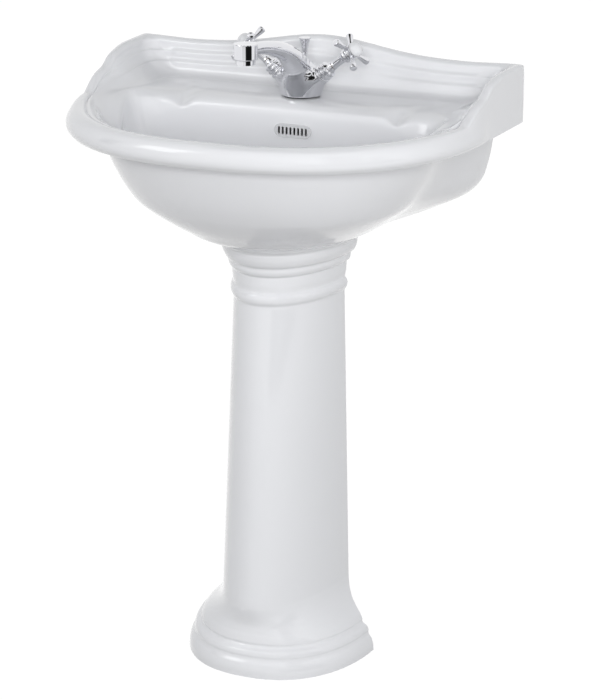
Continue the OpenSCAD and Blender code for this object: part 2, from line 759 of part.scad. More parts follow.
knob_z = 57;
knob_h = 24;
boss_h = 16;
strap_w = 12;
boss_w = 8;
strap_t = 2;
strap_top = port_z + 36;
strap_bottom = port_z - pivot_out * sin(pivot_angle / 2) - 20;
module at_lift(z) {
    translate([0, -lift_y, z]) children();
}
module lift_knob() {
    color(chrome)
        from_wall()
            at_lift(deck_z + knob_z)
                difference() {
                    rotate_extrude()
                        polygon([
                            [0, 0], [3.8, 0], [4.1, 0.8], [3.8, 2.4], [4.3, 7], [5.4, 13], [6.9, 18.5],
                            [8.3, 22], [8.5, 22.9], [8.1, 23.5], [6, 23.8], [0, knob_h]
                        ]);
                    translate([0, 0, -1]) cylinder(d = lift_rod_d, h = 9);
                }
}
module lift_rod() {
    color(chrome)
        from_wall()
            at_lift(strap_top + 2)
                cylinder(d = lift_rod_d, h = deck_z + knob_z + 8 - strap_top - 2);
}
module lift_strap() {
    color(steel)
        from_wall()
            at_lift(0)
                difference() {
                    union() {
                        translate([-strap_w / 2, -boss_w / 2, strap_top]) cube([strap_w, boss_w, boss_h]);
                        translate([-strap_w / 2, -strap_t / 2, strap_bottom])
                            cube([strap_w, strap_t, strap_top - strap_bottom + 1]);
                    }
                    translate([0, 0, strap_top + 2]) cylinder(d = lift_rod_d + 0.2, h = boss_h);
                    translate([0, 0, strap_top + boss_h / 2 + 1])
                        rotate([0, 90, 0])
                            cylinder(r = 2, h = strap_w);
                    for (k = [-1 : 3])
                        translate([0, -5, port_z - pivot_out * sin(pivot_angle / 2) + 11 * k])
                            rotate([-90, 0, 0])
                                cylinder(d = pivot_rod_d + 1.4, h = 10);
                }
}
module strap_screw() {
    color(steel)
        from_wall()
            at_lift(strap_top + boss_h / 2 + 1)
                rotate([0, 90, 0])
                    union() {
                        translate([0, 0, lift_rod_d / 2 + 0.1]) cylinder(r = 1.9, h = strap_w / 2);
                        translate([0, 0, strap_w / 2 + 0.3]) cylinder(r = 5, h = 6);
                    }
}

// ---------------------------------------------------------------- bottle trap

spigot_bottom = tee_bottom - tee_spigot_l;
trap_r = 28;
cup_r = 30;
trap_top = spigot_bottom + 8;
trap_out_z = trap_top - 34;
trap_bottom = trap_out_z - 24;
cup_h = 72;
cup_lip = 3;
trap_wall = 3;
stub_l = 48;
module trap_inlet_nut() {
    color(plastic)
        from_wall()
            at_waste(trap_top - 10)
                difference() {
                    cylinder(r = outlet_r + 9, h = 22);
                    translate([0, 0, -1]) cylinder(r = outlet_r + 6.2, h = 15);
                    cylinder(r = outlet_r + 0.4, h = 30);
                }
}
module trap_washer() {
    color(rubber)
        from_wall()
            at_waste(trap_top)
                ring(outlet_r + 5, outlet_r + 0.1, 3.8);
}
module trap_body() {
    color(plastic)
        from_wall()
            at_waste(0)
                difference() {
                    union() {
                        translate([0, 0, trap_bottom]) cylinder(r = trap_r, h = trap_top - 12 - trap_bottom);
                        translate([0, 0, trap_top - 13]) cylinder(r = outlet_r + 6, h = 13);
                        translate([0, 0, trap_bottom - 50]) cylinder(r = outlet_r + 2, h = 52);
                        translate([0, 0, trap_out_z])
                            rotate([-90, 0, 0])
                                cylinder(r = outlet_r + 4, h = stub_l);
                    }
                    difference() {
                        translate([0, 0, trap_bottom - 1])
                            cylinder(r = trap_r - trap_wall, h = trap_top - 14 - trap_bottom);
                        translate([0, 0, trap_bottom - 2]) cylinder(r = outlet_r + 2, h = trap_top - trap_bottom);
                    }
                    translate([0, 0, trap_bottom - 51]) cylinder(r = outlet_r, h = 200);
                    translate([0, outlet_r + 3, trap_out_z])
                        rotate([-90, 0, 0])
                            cylinder(r = outlet_r + 0.3, h = stub_l);
                }
}
module trap_cup_seal() {
    color(rubber)
        from_wall()
            at_waste(trap_bottom - 2)
                ring(trap_r, outlet_r + 4, 2);
}
module trap_cup() {
    color(plastic)
        from_wall()
            at_waste(trap_bottom - cup_h)
                difference() {
                    union() {
                        cylinder(r = cup_r, h = cup_h + cup_lip);
                        for (a = [0 : 30 : 330])
                            rotate([0, 0, a])
                                translate([cup_r, 0, cup_h - 6])
                                    cylinder(r = 2, h = cup_lip + 6);
                    }
                    translate([0, 0, 4]) cylinder(r = trap_r - trap_wall, h = cup_h);
                    translate([0, 0, cup_h - 2]) cylinder(r = trap_r + 0.3, h = 20);
                }
}
module at_outlet(d) {
    translate([0, -waste_y + d, trap_out_z]) rotate([-90, 0, 0]) children();
}
module trap_outlet_nut() {
    color(plastic)
        from_wall()
            at_outlet(stub_l - 12)
                difference() {
                    cylinder(r = outlet_r + 8, h = 22);
                    translate([0, 0, -1]) cylinder(r = outlet_r + 4.3, h = 17);
                    cylinder(r = outlet_r + 0.4, h = 30);
                }
}
module outlet_washer() {
    color(rubber)
        from_wall()
            at_outlet(stub_l)
                ring(outlet_r + 4, outlet_r + 0.1, 3.8);
}
pipe_collar = stub_l + 12;
module outlet_pipe() {
    pipe_start = outlet_r + 6;
    color(plastic)
        from_wall()
            at_outlet(pipe_start) {
                ring(outlet_r, outlet_r - 2, waste_y - pipe_start);
                translate([0, 0, pipe_collar - pipe_start]) ring(outlet_r + 2.5, outlet_r - 1, 3);
            }
}

// ---------------------------------------------------------------- tap

base_seal_t = 1.2;
valve_bore_r = 8.5;
valve_bore_z = 14;
spindle_r = 4;
nozzle_h = 22;
aerator_h = 6;
aerator_d = nozzle_d - 7;
nozzle_z = spout_outlet_z + aerator_h;
stud_y = -13;
stud_d = 8;
tail_x = 10.5;
supply_d = 10;

module at_valve(side, s) {
    translate([0, -tap_y, deck_z + valve_root_z])
        rotate([0, side * valve_splay, 0])
            rotate([valve_tilt, 0, 0])
                translate([0, 0, s])
                    children();
}

// Middle line and section of the spout, from the body to the nozzle
spout_steps = 14;
function spout_mid(t) = [
    curve([[0, 2], [0.2, -16], [0.45, -62], [0.75, -124], [1, -spout_reach + 6]], t),
    curve([[0, 14], [0.2, 46], [0.45, 74], [0.75, 90], [1, nozzle_z + 12]], t)
];
function spout_w(t) = curve([[0, 20], [0.2, 17], [0.45, 11.5], [0.75, spout_d / 2 + 0.3], [1, spout_d / 2]], t);
function spout_h(t) = curve([[0, 20], [0.2, 15], [0.45, 10], [0.75, spout_d / 2 + 0.3], [1, spout_d / 2]], t);
function spout_ring(t) =
    let (
        m = spout_mid(t),
        a = spout_mid(max(0, t - 0.02)),
        b = spout_mid(min(1, t + 0.02)),
        dir = atan2(b[1] - a[1], b[0] - a[0])
    )
    [
        for (q = [0 : 15 : 345])
            [
                spout_w(t) * cos(q),
                m[0] - spout_h(t) * sin(q) * sin(dir),
                m[1] + spout_h(t) * sin(q) * cos(dir)
            ]
    ];
module spout() {
    skin([for (i = [0 : spout_steps]) spout_ring(i / spout_steps)]);
}
module tap_body() {
    base_r = tap_base_d / 2;
    color(chrome)
        from_wall()
            difference() {
                union() {
                    at_tap(base_seal_t)
                        rotate_extrude()
                            polygon([
                                [0, 0], [base_r - 1, 0], [base_r - 0.5, 0.8], [base_r - 1, 6], [base_r - 0.5, 12],
                                [base_r + 1.5, 19], [base_r + 2, 24], [base_r, 31], [base_r - 6, 38], [base_r - 14, 42], [0, 43]
                            ]);
                    at_tap(0) spout();
                    at_tap(nozzle_z)
                        translate([0, -spout_reach, 0])
                            rotate_extrude()
                                polygon([
                                    [0, 0], [nozzle_d / 2 - 1, 0], [nozzle_d / 2, 1], [nozzle_d / 2, nozzle_h - 2],
                                    [nozzle_d / 2 - 2, nozzle_h], [0, nozzle_h]
                                ]);
                    for (side = [-1, 1])
                        at_valve(side, 0)
                            cylinder(r1 = arm_d / 2 + 7, r2 = arm_d / 2, h = arm_l);
                }
                at_tap(base_seal_t - 30) cylinder(r = tap_base_d, h = 30);
                for (side = [-1, 1])
                    at_valve(side, valve_bore_z) cylinder(r = valve_bore_r, h = arm_l);
                at_tap(-1) translate([0, tap_y - lift_y, 0]) cylinder(d = lift_rod_d + 2 * slip, h = 60);
                at_tap(-5) translate([0, stud_y, 0]) cylinder(d = stud_d + 0.1, h = 17);
                for (x = [-tail_x, tail_x])
                    at_tap(-5) translate([x, 0, 0]) cylinder(d = supply_d + 0.1, h = 14);
                at_tap(-5) cylinder(r = 3, h = 5 + base_seal_t);
                at_tap(nozzle_z - 1)
                    translate([0, -spout_reach, 0])
                        cylinder(d = aerator_d - 2, h = 13);
            }
}
module tap_base_seal() {
    color(rubber)
        from_wall()
            at_tap(0)
                ring(tap_base_d / 2 - 0.6, tap_hole_d / 2 + 1, base_seal_t);
}
module nozzle() {
    color(chrome)
        from_wall()
            at_tap(spout_outlet_z)
                translate([0, -spout_reach, 0])
                    difference() {
                        union() {
                            cylinder(d = aerator_d, h = aerator_h);
                            cylinder(d = aerator_d - 2.2, h = aerator_h + 10);
                        }
                        translate([0, 0, -1]) cylinder(d = aerator_d - 6, h = aerator_h + 14);
                    }
}
module aerator() {
    color(plastic)
        from_wall()
            at_tap(spout_outlet_z + 0.8)
                translate([0, -spout_reach, 0])
                    difference() {
                        cylinder(d = aerator_d - 6.2, h = 8);
                        for (a = [0 : 45 : 315])
                            rotate([0, 0, a])
                                translate([5.5, 0, -1])
                                    cylinder(r = 1.3, h = 10);
                        translate([0, 0, -1]) cylinder(r = 1.6, h = 10);
                    }
}
module tap_stud() {
    color(brass)
        from_wall()
            at_tap(-62)
                translate([0, stud_y, 0])
                    cylinder(d = stud_d, h = 74);
}
horseshoe_slot_y = -7;
module horseshoe(t, z) {
    from_wall()
        at_tap(z)
            difference() {
                cylinder(r = 25, h = t);
                translate([-tail_x - supply_d / 2 - 1, horseshoe_slot_y, -1])
                    cube([2 * tail_x + supply_d + 2, 50, t + 2]);
                translate([0, stud_y, -1]) cylinder(d = stud_d + 0.6, h = t + 2);
            }
}
module horseshoe_rubber() {
    color(rubber) horseshoe(3, -deck_t - 3);
}
module horseshoe_plate() {
    color(steel) horseshoe(2.5, -deck_t - 5.5);
}
module tap_nut() {
    color(brass)
        from_wall()
            at_tap(-deck_t - 15.5)
                translate([0, stud_y, 0])
                    hex_nut(13, stud_d / 2 + 0.1, 10);
}

bonnet_l = 25;
module bonnet(side) {
    r = arm_d / 2;
    color(chrome)
        from_wall()
            at_valve(side, arm_l)
                difference() {
                    rotate_extrude()
                        polygon([
                            [0, 0], [r, 0], [r + 1, 1], [r + 1, 3.5], [r, 4.5], [r - 1.5, 5], [r - 1.5, 6.5],
                            [r, 7], [r + 0.3, 9], [r, 11], [r - 1.5, 11.5], [r - 1.5, 13], [r - 0.5, 13.5],
                            [r - 0.5, 16.5], [r - 2, 17.5], [r - 4, 19], [r - 5.5, 22], [r - 6, bonnet_l], [0, bonnet_l]
                        ]);
                    translate([0, 0, -1]) cylinder(r = valve_bore_r, h = 15);
                    cylinder(r = spindle_r + running, h = bonnet_l + 5);
                }
}
module cartridge(side) {
    color(brass)
        from_wall()
            at_valve(side, valve_bore_z + 0.2)
                difference() {
                    cylinder(r = valve_bore_r - 0.1, h = arm_l + 13 - valve_bore_z - 0.2);
                    translate([0, 0, 12]) cylinder(r = spindle_r + running, h = arm_l + 30);
                    translate([-2, -20, -1]) cube([4, 40, 5]);
                }
}
spindle_start = valve_bore_z + 12.6;
spindle_end = cross_l - 8;
module spindle(side) {
    color(brass)
        from_wall()
            at_valve(side, spindle_start)
                difference() {
                    cylinder(r = spindle_r, h = spindle_end - spindle_start);
                    translate([0, 0, spindle_end - spindle_start - 10]) cylinder(r = 2, h = 20);
                }
}
spoke_root = 5.6;
module spoke() {
    rotate([0, 90, 0])
        rotate_extrude()
            polygon([
                [0, spoke_root], [3.4, spoke_root], [3, 9], [2.9, 12], [3.3, 17], [4.2, 22], [5, 26.5], [5.3, spoke_r - 2.6],
                [5.1, spoke_r - 1.2], [4.2, spoke_r - 0.3], [0, spoke_r]
            ]);
}
module cross_handle(side) {
    neck = cross_l - arm_l - bonnet_l - slip;
    color(chrome)
        from_wall()
            at_valve(side, cross_l)
                difference() {
                    union() {
                        rotate_extrude()
                            polygon([
                                [0, -neck], [6, -neck], [6.4, -neck + 1], [5.6, -neck + 3], [5.8, -20], [7, -16],
                                [9.4, -13], [10.2, -10], [9.4, -7.5], [8.2, -6.5], [8.2, -5.5], [11.4, -5],
                                [11.6, -3.5], [10.6, -2.5], [9.6, 0], [10.6, 2.5], [11.6, 3.5], [11.4, 4.5], [0, 4.5]
                            ]);
                        for (a = [45 : 90 : 315])
                            rotate([0, 0, a])
                                spoke();
                    }
                    translate([0, 0, -neck - 1]) cylinder(r = spindle_r + 0.1, h = neck - 7);
                    translate([0, 0, -9]) cylinder(r = 2.6, h = 20);
                    translate([0, 0, -3]) cylinder(r = spoke_root - 0.4, h = 20);
                }
}
module handle_screw(side) {
    color(steel)
        from_wall()
            at_valve(side, cross_l - 3)
                union() {
                    cylinder(r = 4.6, h = 3);
                    translate([0, 0, -12]) cylinder(r = 1.9, h = 13);
                }
}
module handle_cap(side) {
    color(china)
        from_wall()
            at_valve(side, cross_l)
                rotate_extrude()
                    polygon([
                        [0, 1], [5, 1], [5, 4.5], [10.4, 4.5], [10.9, 5.4], [10.9, 7.6], [10.3, 10],
                        [8.9, 12.6], [6.6, 14.7], [3.6, 16], [0, 16.4]
                    ]);
}
swage_d = 15;
swage_l = 40;
tail_l = 215;
tail_wall = 1;
bend_r = 40;
bend_a = 35;
bend_mid = 30;
bend_top = 75;
// The wall is this much thicker at each side of a bend
bend_swell = 0.3;
bend_lap = 0.5;
bend_shift = 2 * bend_r * (1 - cos(bend_a)) + bend_mid * sin(bend_a);
bend_drop = 2 * bend_r * sin(bend_a) + bend_mid * cos(bend_a);
// Solid tube along the tail's upper leg, its two bends and its lower leg
module tail_path(side, r, arc_r, extra) {
    translate([0, 0, -bend_top - bend_lap]) cylinder(r = r, h = bend_top + bend_lap + 8 + extra);
    translate([side * bend_r, 0, -bend_top]) tail_arc(side, arc_r);
    translate([side * bend_r * (1 - cos(bend_a)), 0, -bend_top - bend_r * sin(bend_a)])
        rotate([0, 180 - side * bend_a, 0])
            translate([0, 0, -bend_lap])
                cylinder(r = r, h = bend_mid + 2 * bend_lap);
    translate([side * (bend_shift - bend_r), 0, -bend_top - bend_drop]) mirror([0, 0, 1]) tail_arc(-side, arc_r);
    translate([side * bend_shift, 0, -tail_l - extra]) cylinder(r = r, h = tail_l - bend_top - bend_drop + extra + bend_lap);
}
module tail_arc(side, r) {
    rotate([-90, 0, 0])
        rotate([0, 0, side > 0 ? 180 - bend_a : 0])
            rotate_extrude(angle = bend_a)
                translate([bend_r, 0]) circle(r = r);
}
module supply_tail(side) {
    r = supply_d / 2;
    color(copper)
        from_wall()
            at_tap(0)
                translate([side * tail_x, 0, 0])
                    difference() {
                        union() {
                            tail_path(side, r, r + bend_swell, 0);
                            translate([side * bend_shift, 0, -tail_l]) swage(swage_d / 2, r, swage_l);
                        }
                        tail_path(side, r - tail_wall, r - tail_wall - bend_swell, 1);
                        translate([side * bend_shift, 0, -tail_l - 1])
                            swage(swage_d / 2 - tail_wall, r - tail_wall, swage_l + 1);
                    }
}
module swage(big_r, small_r, l) {
    cylinder(r = big_r, h = l);
    translate([0, 0, l]) cylinder(r1 = big_r, r2 = small_r, h = 5);
}

basin();
pedestal();
overflow_grille();
waste_flange();
flange_seal();
waste_washer();
waste_backnut();
waste_tee();
plug();
plug_seal();
pivot_rod();
pivot_nut();
lift_knob();
lift_rod();
lift_strap();
strap_screw();
trap_inlet_nut();
trap_washer();
trap_body();
trap_cup();
trap_cup_seal();
trap_outlet_nut();
outlet_washer();
outlet_pipe();
tap_body();
tap_base_seal();
nozzle();
aerator();
tap_stud();
horseshoe_rubber();
horseshoe_plate();
tap_nut();
bonnet(-1);  // bonnet_left
bonnet(1);  // bonnet_right
cartridge(-1);  // cartridge_left
cartridge(1);  // cartridge_right
spindle(-1);  // spindle_left
spindle(1);  // spindle_right
cross_handle(-1);  // cross_handle_left
cross_handle(1);  // cross_handle_right
handle_screw(-1);  // handle_screw_left
handle_screw(1);  // handle_screw_right
handle_cap(-1);  // handle_cap_left
handle_cap(1);  // handle_cap_right
supply_tail(-1);  // supply_tail_left
supply_tail(1);  // supply_tail_right
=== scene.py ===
import json
import math
from collections import namedtuple

import bmesh
import bpy
import numpy as np
from mathutils import Matrix, Vector


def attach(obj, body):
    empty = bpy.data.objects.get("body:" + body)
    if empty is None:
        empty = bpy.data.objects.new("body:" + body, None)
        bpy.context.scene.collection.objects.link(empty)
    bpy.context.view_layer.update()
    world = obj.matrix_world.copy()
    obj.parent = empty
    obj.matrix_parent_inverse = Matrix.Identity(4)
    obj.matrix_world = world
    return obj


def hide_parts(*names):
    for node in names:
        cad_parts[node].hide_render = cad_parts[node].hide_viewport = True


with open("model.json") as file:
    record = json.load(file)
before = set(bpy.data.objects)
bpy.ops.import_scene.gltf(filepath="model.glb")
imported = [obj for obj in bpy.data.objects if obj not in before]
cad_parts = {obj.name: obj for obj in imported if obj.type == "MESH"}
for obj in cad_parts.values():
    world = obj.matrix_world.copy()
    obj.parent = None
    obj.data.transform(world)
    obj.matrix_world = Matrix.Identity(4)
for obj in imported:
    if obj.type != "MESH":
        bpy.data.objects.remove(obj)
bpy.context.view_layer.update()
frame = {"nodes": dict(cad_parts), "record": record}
NODES = frame["nodes"]
ROOT = "basin_and_pedestal"
MM = 0.001

# ------------------------------------------------------------------ sizes, in mm, as in part.scad
# Points are (x, y, z) with y = 0 at the wall and negative towards the front, so the distance d
# from the wall is -y. mesh_object moves them into the frame. The tap's own points start from the
# middle of its base.

# basin
BASIN_W = 600.0
BASIN_D = 444.0
BASIN_H = 184.0
FASCIA_H = 32.4
RIM_BULGE = 6.0
RIM_ROLL = 24.0
RIM_WAIST = 5.0
RIM_STRAIGHT = 134.6
RIM_POWER = 2.3
BULGE_DROP = 20.0
ROLL_LOW = 48.0  # degrees below level at which the rim's roll starts
ROLL_FALL = 5.4  # how far the roll's inner half would fall in a full quarter turn
UPSTAND_H = 50.0
WAVE_DIP = 2.6
DOME_H = 22.5
DOME_W = 110.0
MOULD_W = 240.0
DECK_D = 146.0
DECK_DROP = 1.5
DECK_T = 14.0
GROOVE_DEPTH = 9.0
GROOVE_X = 165.0
GROOVE_R = 14.0
BOWL_DEPTH = 160.0
BOWL_LIP = 3.7  # drop of the bowl's front edge
BOWL_DISH = 7.0  # fall of the bowl's bottom towards the waste
WALL_T = 12.0
CAVITY_D = 122.0
OVERHANG = 37.0

# the basin's body
BODY_TOP_W = 516.0
BODY_TAPER = 12.0  # how much less the round front's half width is there
BODY_BASE_HIP = 133.0  # half width at the wall, on the pedestal
BODY_BASE_X = 104.0  # half width of the round front, on the pedestal
BODY_BASE_D = 261.0  # distance from the wall to the body's front, on the pedestal
BODY_POWER = 2.1

# holes in the basin
TAP_Y = 95.0
TAP_HOLE_R = 17.5
WASTE_Y = 208.0
WASTE_HOLE_R = 22.5
WASTE_FLOOR_R = 34.5
FLANGE_RECESS_R = 32.5
WALL_BOLT_X = 140.0
WALL_BOLT_DROP = 72.0
WALL_BOLT_R = 7.0
GRILLE_X = 10.5
GRILLE_DROP = 41.5
MOUTH_W = 48.0
MOUTH_H = 12.0
CHANNEL_Y = 132.0
MOUTH_D = 147.5  # distance from the wall to where the overflow's mouth opens in the bowl

# pedestal
PED_H = 629.0
SHAFT_A = 75.8
SHAFT_B = 123.5
SHAFT_MID = 114.0  # distance from the wall to the oval's widest line
SHAFT_GAP = 118.0
RAKE = 50.0
FOOT_A = 89.4
FOOT_B = 137.5
FOOT_MID = 119.6
FOOT_GAP = 148.5
FOOT_FLARE = 52.0
FOOT_H = 100.0
CROWN_FLARE = 26.0
CROWN_H = 91.0

# tap
SPLAY = 52.0
TILT = 4.0
ROOT_Z = 7.0
ARM_L = 40.0
ARM_R = 12.5
CROSS_L = 101.0
BONNET_L = 25.0
REACH = 186.0
NOZZLE_Z = 84.0
NOZZLE_R = 16.2
NOZZLE_BORE_R = 12.0
VALVE_BORE_R = 8.5
TAIL_X = 10.5
TAIL_BORE_R = 5.1
STUD_Y = 13.0
STUD_BORE_R = 4.1
ROD_Y = 12.0
ROD_BORE_R = 3.0

# levels and places that follow from these
RIM_Z = PED_H + BASIN_H
DECK_Z = RIM_Z - DECK_DROP
FLOOR_Z = RIM_Z - BOWL_DEPTH
FASCIA_Z = RIM_Z - FASCIA_H
GRILLE_Z = RIM_Z - GRILLE_DROP
WALL_SHIFT = BASIN_D / 2
ROLL_MID = RIM_ROLL / 2
WASTE = np.array([0.0, -WASTE_Y])

# facets
SIDE_STEPS, FRONT_STEPS, BACK_STEPS = 30, 150, 150
RIM_STEPS = 6
CAVITY_STEPS = 24
SHELL_STEPS = 144
ROUND_STEPS = 96
SPOKE_STEPS = 48
TAP_STEP = 0.8


# ------------------------------------------------------------------ curve helpers
def mix(a, b, t):
    return a + (b - a) * t


def ease(a, b, x):
    """0 at a and 1 at b, with soft ends."""
    t = np.clip((np.asarray(x, float) - a) / (b - a), 0, 1)
    return t * t * (3 - 2 * t)


def spow(x, p):
    return np.sign(x) * np.abs(x) ** p


def cosd(a):
    return np.cos(np.radians(a))


def sind(a):
    return np.sin(np.radians(a))


def curve(points, x):
    """Smooth curve through points sorted by their first value."""
    p = np.array(points, float)
    x = np.atleast_1d(np.asarray(x, float))
    n = len(p)
    lo = np.maximum(np.arange(n) - 1, 0)
    hi = np.minimum(np.arange(n) + 1, n - 1)
    m = (p[hi, 1] - p[lo, 1]) / (p[hi, 0] - p[lo, 0])
    i = np.clip(np.searchsorted(p[:, 0], x, side="right") - 1, 0, n - 2)
    h = p[i + 1, 0] - p[i, 0]
    t = np.clip((x - p[i, 0]) / h, 0, 1)
    t2, t3 = t * t, t * t * t
    return (
        (2 * t3 - 3 * t2 + 1) * p[i, 1] + (t3 - 2 * t2 + t) * m[i] * h
        + (3 * t2 - 2 * t3) * p[i + 1, 1] + (t3 - t2) * m[i + 1] * h
    )


def one(points, x):
    return float(curve(points, x)[0])


# ------------------------------------------------------------------ mesh helpers
def mesh_object(name, verts, faces):
    """Smooth-shaded piece in the frame, with its faces turned outwards."""
    v = np.asarray(verts, float) * MM
    v = v + np.array([0, WALL_SHIFT * MM, 0])
    me = bpy.data.meshes.new(name)
    me.from_pydata(v.tolist(), [], [list(f) for f in faces])
    me.validate()
    bm = bmesh.new()
    bm.from_mesh(me)
    if bm.calc_volume(signed=True) < 0:
        bmesh.ops.reverse_faces(bm, faces=bm.faces)
        bm.to_mesh(me)
    bm.free()
    me.update()
    me.polygons.foreach_set("use_smooth", [True] * len(me.polygons))
    o = bpy.data.objects.new(name, me)
    bpy.context.scene.collection.objects.link(o)
    return o


def strips(n, m, closed=False):
    """Quads between m rings of n points; closed also joins the last ring to the first."""
    faces = []
    for r in range(m if closed else m - 1):
        q = (r + 1) % m
        for i in range(n):
            j = (i + 1) % n
            faces.append((r * n + i, r * n + j, q * n + j, q * n + i))
    return faces


def end_caps(n, m):
    return [tuple(range(n - 1, -1, -1)), tuple((m - 1) * n + i for i in range(n))]


def skin_object(name, rings):
    n, m = len(rings[0]), len(rings)
    return mesh_object(name, np.concatenate(rings), strips(n, m) + end_caps(n, m))


def circle(radius, z, steps):
    a = np.linspace(0, 2 * np.pi, steps, endpoint=False)
    return np.column_stack([radius * np.cos(a), radius * np.sin(a), np.full(steps, z)])


def lathe(name, profile, at, turn, seg=ROUND_STEPS, closed=False):
    """Turned piece: profile is (radius, height), and at and turn place it."""
    rings = [circle(max(r, 0.02), z, seg) for r, z in np.array(profile, float)]
    verts = np.concatenate(rings) @ np.array(turn.to_3x3()).T + np.array(at, float)
    faces = strips(seg, len(rings), closed)
    if not closed:
        faces += end_caps(seg, len(rings))
    return mesh_object(name, verts, faces)


def soften(profile, r, steps):
    """Rounds each corner of a (radius, height) profile."""
    p = np.array(profile, float)
    out = [p[0]]
    for i in range(1, len(p) - 1):
        a, b, c = p[i - 1], p[i], p[i + 1]
        u, v = a - b, c - b
        lu, lv = np.linalg.norm(u), np.linalg.norm(v)
        k = min(r, lu * 0.45, lv * 0.45)
        s, e = b + u / lu * k, b + v / lv * k
        for t in np.linspace(0, 1, steps + 1):
            out.append((1 - t) ** 2 * s + 2 * t * (1 - t) * b + t * t * e)
    out.append(p[-1])
    return np.array(out)


def cutter_cylinder(name, at, radius, length, axis="Z"):
    """Cutter that runs up from at, or towards the front where axis is Y."""
    rows = []
    for z in (0, length):
        c = circle(radius, z, ROUND_STEPS)
        if axis == "Y":
            c = np.column_stack([c[:, 0], -c[:, 2], c[:, 1]])
        rows.append(c + np.array(at, float))
    return skin_object(name, rows)


def slot_cutter(name, at, width, height, length):
    """Cutter of a level round-ended slot that runs from at towards the front."""
    a = np.linspace(-90, 90, 33)
    right = np.column_stack([(width - height) / 2 + height / 2 * cosd(a), height / 2 * sind(a)])
    o = np.concatenate([right, -right])
    x, y, z = at
    rows = [np.column_stack([x + o[:, 0], np.full(len(o), y - k), z + o[:, 1]]) for k in (0, length)]
    return skin_object(name, rows)


def cut(target, cutters):
    """Takes the cutters away from the target, and deletes them."""
    for c in cutters:
        m = target.modifiers.new("cut", "BOOLEAN")
        m.operation = "DIFFERENCE"
        m.solver = "MANIFOLD"
        m.object = c
    dg = bpy.context.evaluated_depsgraph_get()
    me = bpy.data.meshes.new_from_object(target.evaluated_get(dg))
    target.modifiers.clear()
    old = target.data
    target.data = me
    bpy.data.meshes.remove(old)
    for c in cutters:
        d = c.data
        bpy.data.objects.remove(c)
        bpy.data.meshes.remove(d)


def smooth_by_angle(o, degrees):
    me = o.data
    me.polygons.foreach_set("use_smooth", [True] * len(me.polygons))
    bm = bmesh.new()
    bm.from_mesh(me)
    lim = math.radians(degrees)
    for e in bm.edges:
        e.smooth = not (len(e.link_faces) == 2 and e.calc_face_angle(0) > lim)
    bm.to_mesh(me)
    bm.free()


# ------------------------------------------------------------------ basin: rim, upstand and bowl
# A ring starts at the right back corner, runs along that side, the front and the other side, and
# comes back along the wall.
SIDE_END = 185.0
PLAN_A = BASIN_W / 2 - RIM_WAIST
PLAN_B = BASIN_D - RIM_BULGE - RIM_STRAIGHT
SPLIT_K = (SIDE_END - RIM_STRAIGHT) / PLAN_B
SPLIT_T = math.degrees(math.asin(SPLIT_K ** (RIM_POWER / 2)))
BOWL_SIDE = BASIN_W / 2 - 59
WING = [
    [0, 1], [75, 0.99], [100, 0.92], [125, 0.78], [142, 0.56], [165, 0.43], [185, 0.24],
    [204, 0.02], [222, 0],
]

# at: angle on the rim's roll, or share of the bowl's plan; front, back: insets of the sides;
# wall: distance from the wall; rise: share of the upstand's height; drop: below the rim's top;
# step: how far the moulding stands out; groove: share of the drain grooves' depth
Row = namedtuple("Row", "at front back wall rise drop step groove", defaults=(0,))
UNDER_ROW = Row(-55, 2, 2, 0, 0, FASCIA_H + 1.3, 0)
RIM_ROWS = [Row(*r) for r in (
    (-ROLL_LOW, 0, 0, 0, 0, FASCIA_H, 0),
    (-25, -3, 0, 0, 0, 27, 0),
    (0, -4, 0, 0, 0.05, BULGE_DROP, 0),
    (25, -2, 0, 0, 0.42, 11.5, 0),
    (50, 0, 0.5, 0, 0.86, 4.7, 0),
    (70, 1.5, 1.5, 0.5, 0.975, 1.2, 0),
    (90, 7, 7, 6, 1, 0, 0),
    (115, 12, 12, 12, 0.985, 0.5, 0),
    (140, 14.5, 14.5, 16, 0.94, 1.9, 0),
    (162, 15.5, 15.5, 17, 0.87, 3.7, 0),
)]
FACE_ROWS = [Row(*r) for r in (
    (0.985, 16, 17, 17.8, 0.74, 1, 0),
    (0.975, 16.5, 18.5, 19, 0.655, 1, 2.5),
    (0.965, 17, 20, 20.3, 0.62, 1, 2),
    (0.955, 18, 24, 21.6, 0.46, 1, 1),
    (0.945, 19, 28, 23.5, 0.365, 1, 3),
    (0.935, 20, 32, 25, 0.33, 1, 2.5),
    (0.92, 23, 41, 28, 0.17, 1, 1),
    (0.905, 26, 51, 33, 0.06, 1, 0),
    (0.89, 30, 60, 43, 0, 1, 0),
    (0.87, 38, 63, 62, 0, DECK_DROP, 0),
    (0.86, 41, 66, 92, 0, DECK_DROP + 0.2, 0, 0.08),
    (0.85, 44, 70, DECK_D - 30, 0, DECK_DROP + 0.8, 0, 0.35),
    (0.83, 49, 68, DECK_D - 17, 0, 4.5, 0, 0.8),
    (0.81, 53, 62, DECK_D - 8, 0, 8.2, 0, 1),
    (0.80, 56.5, 61, DECK_D - 2.5, 0, 12.5, 0, 0.9),
    (0.79, 59, 62, DECK_D, 0, 18.5, 0, 0.5),
)]

# drop of the back half, its shares of the bowl's depth and width, its roundness, and the share
# of the plan that the front half follows
BowlRow = namedtuple("BowlRow", "drop depth width power front")
BOWL_ROWS = [BowlRow(*r) for r in (
    (34, 0.98, 0.955, 7, 0.765),
    (52, 0.965, 0.93, 6.5, 0.735),
    (77, 0.95, 0.89, 6, 0.70),
    (102, 0.93, 0.835, 5, 0.65),
    (124, 0.90, 0.755, 4, 0.59),
    (142, 0.86, 0.63, 3, 0.50),
    (153, 0.80, 0.44, 2.4, 0.38),
)]


def wing_rise(d):
    """Height of the upstand's wing above the rim."""
    return UPSTAND_H * np.maximum(0, curve(WING, d))


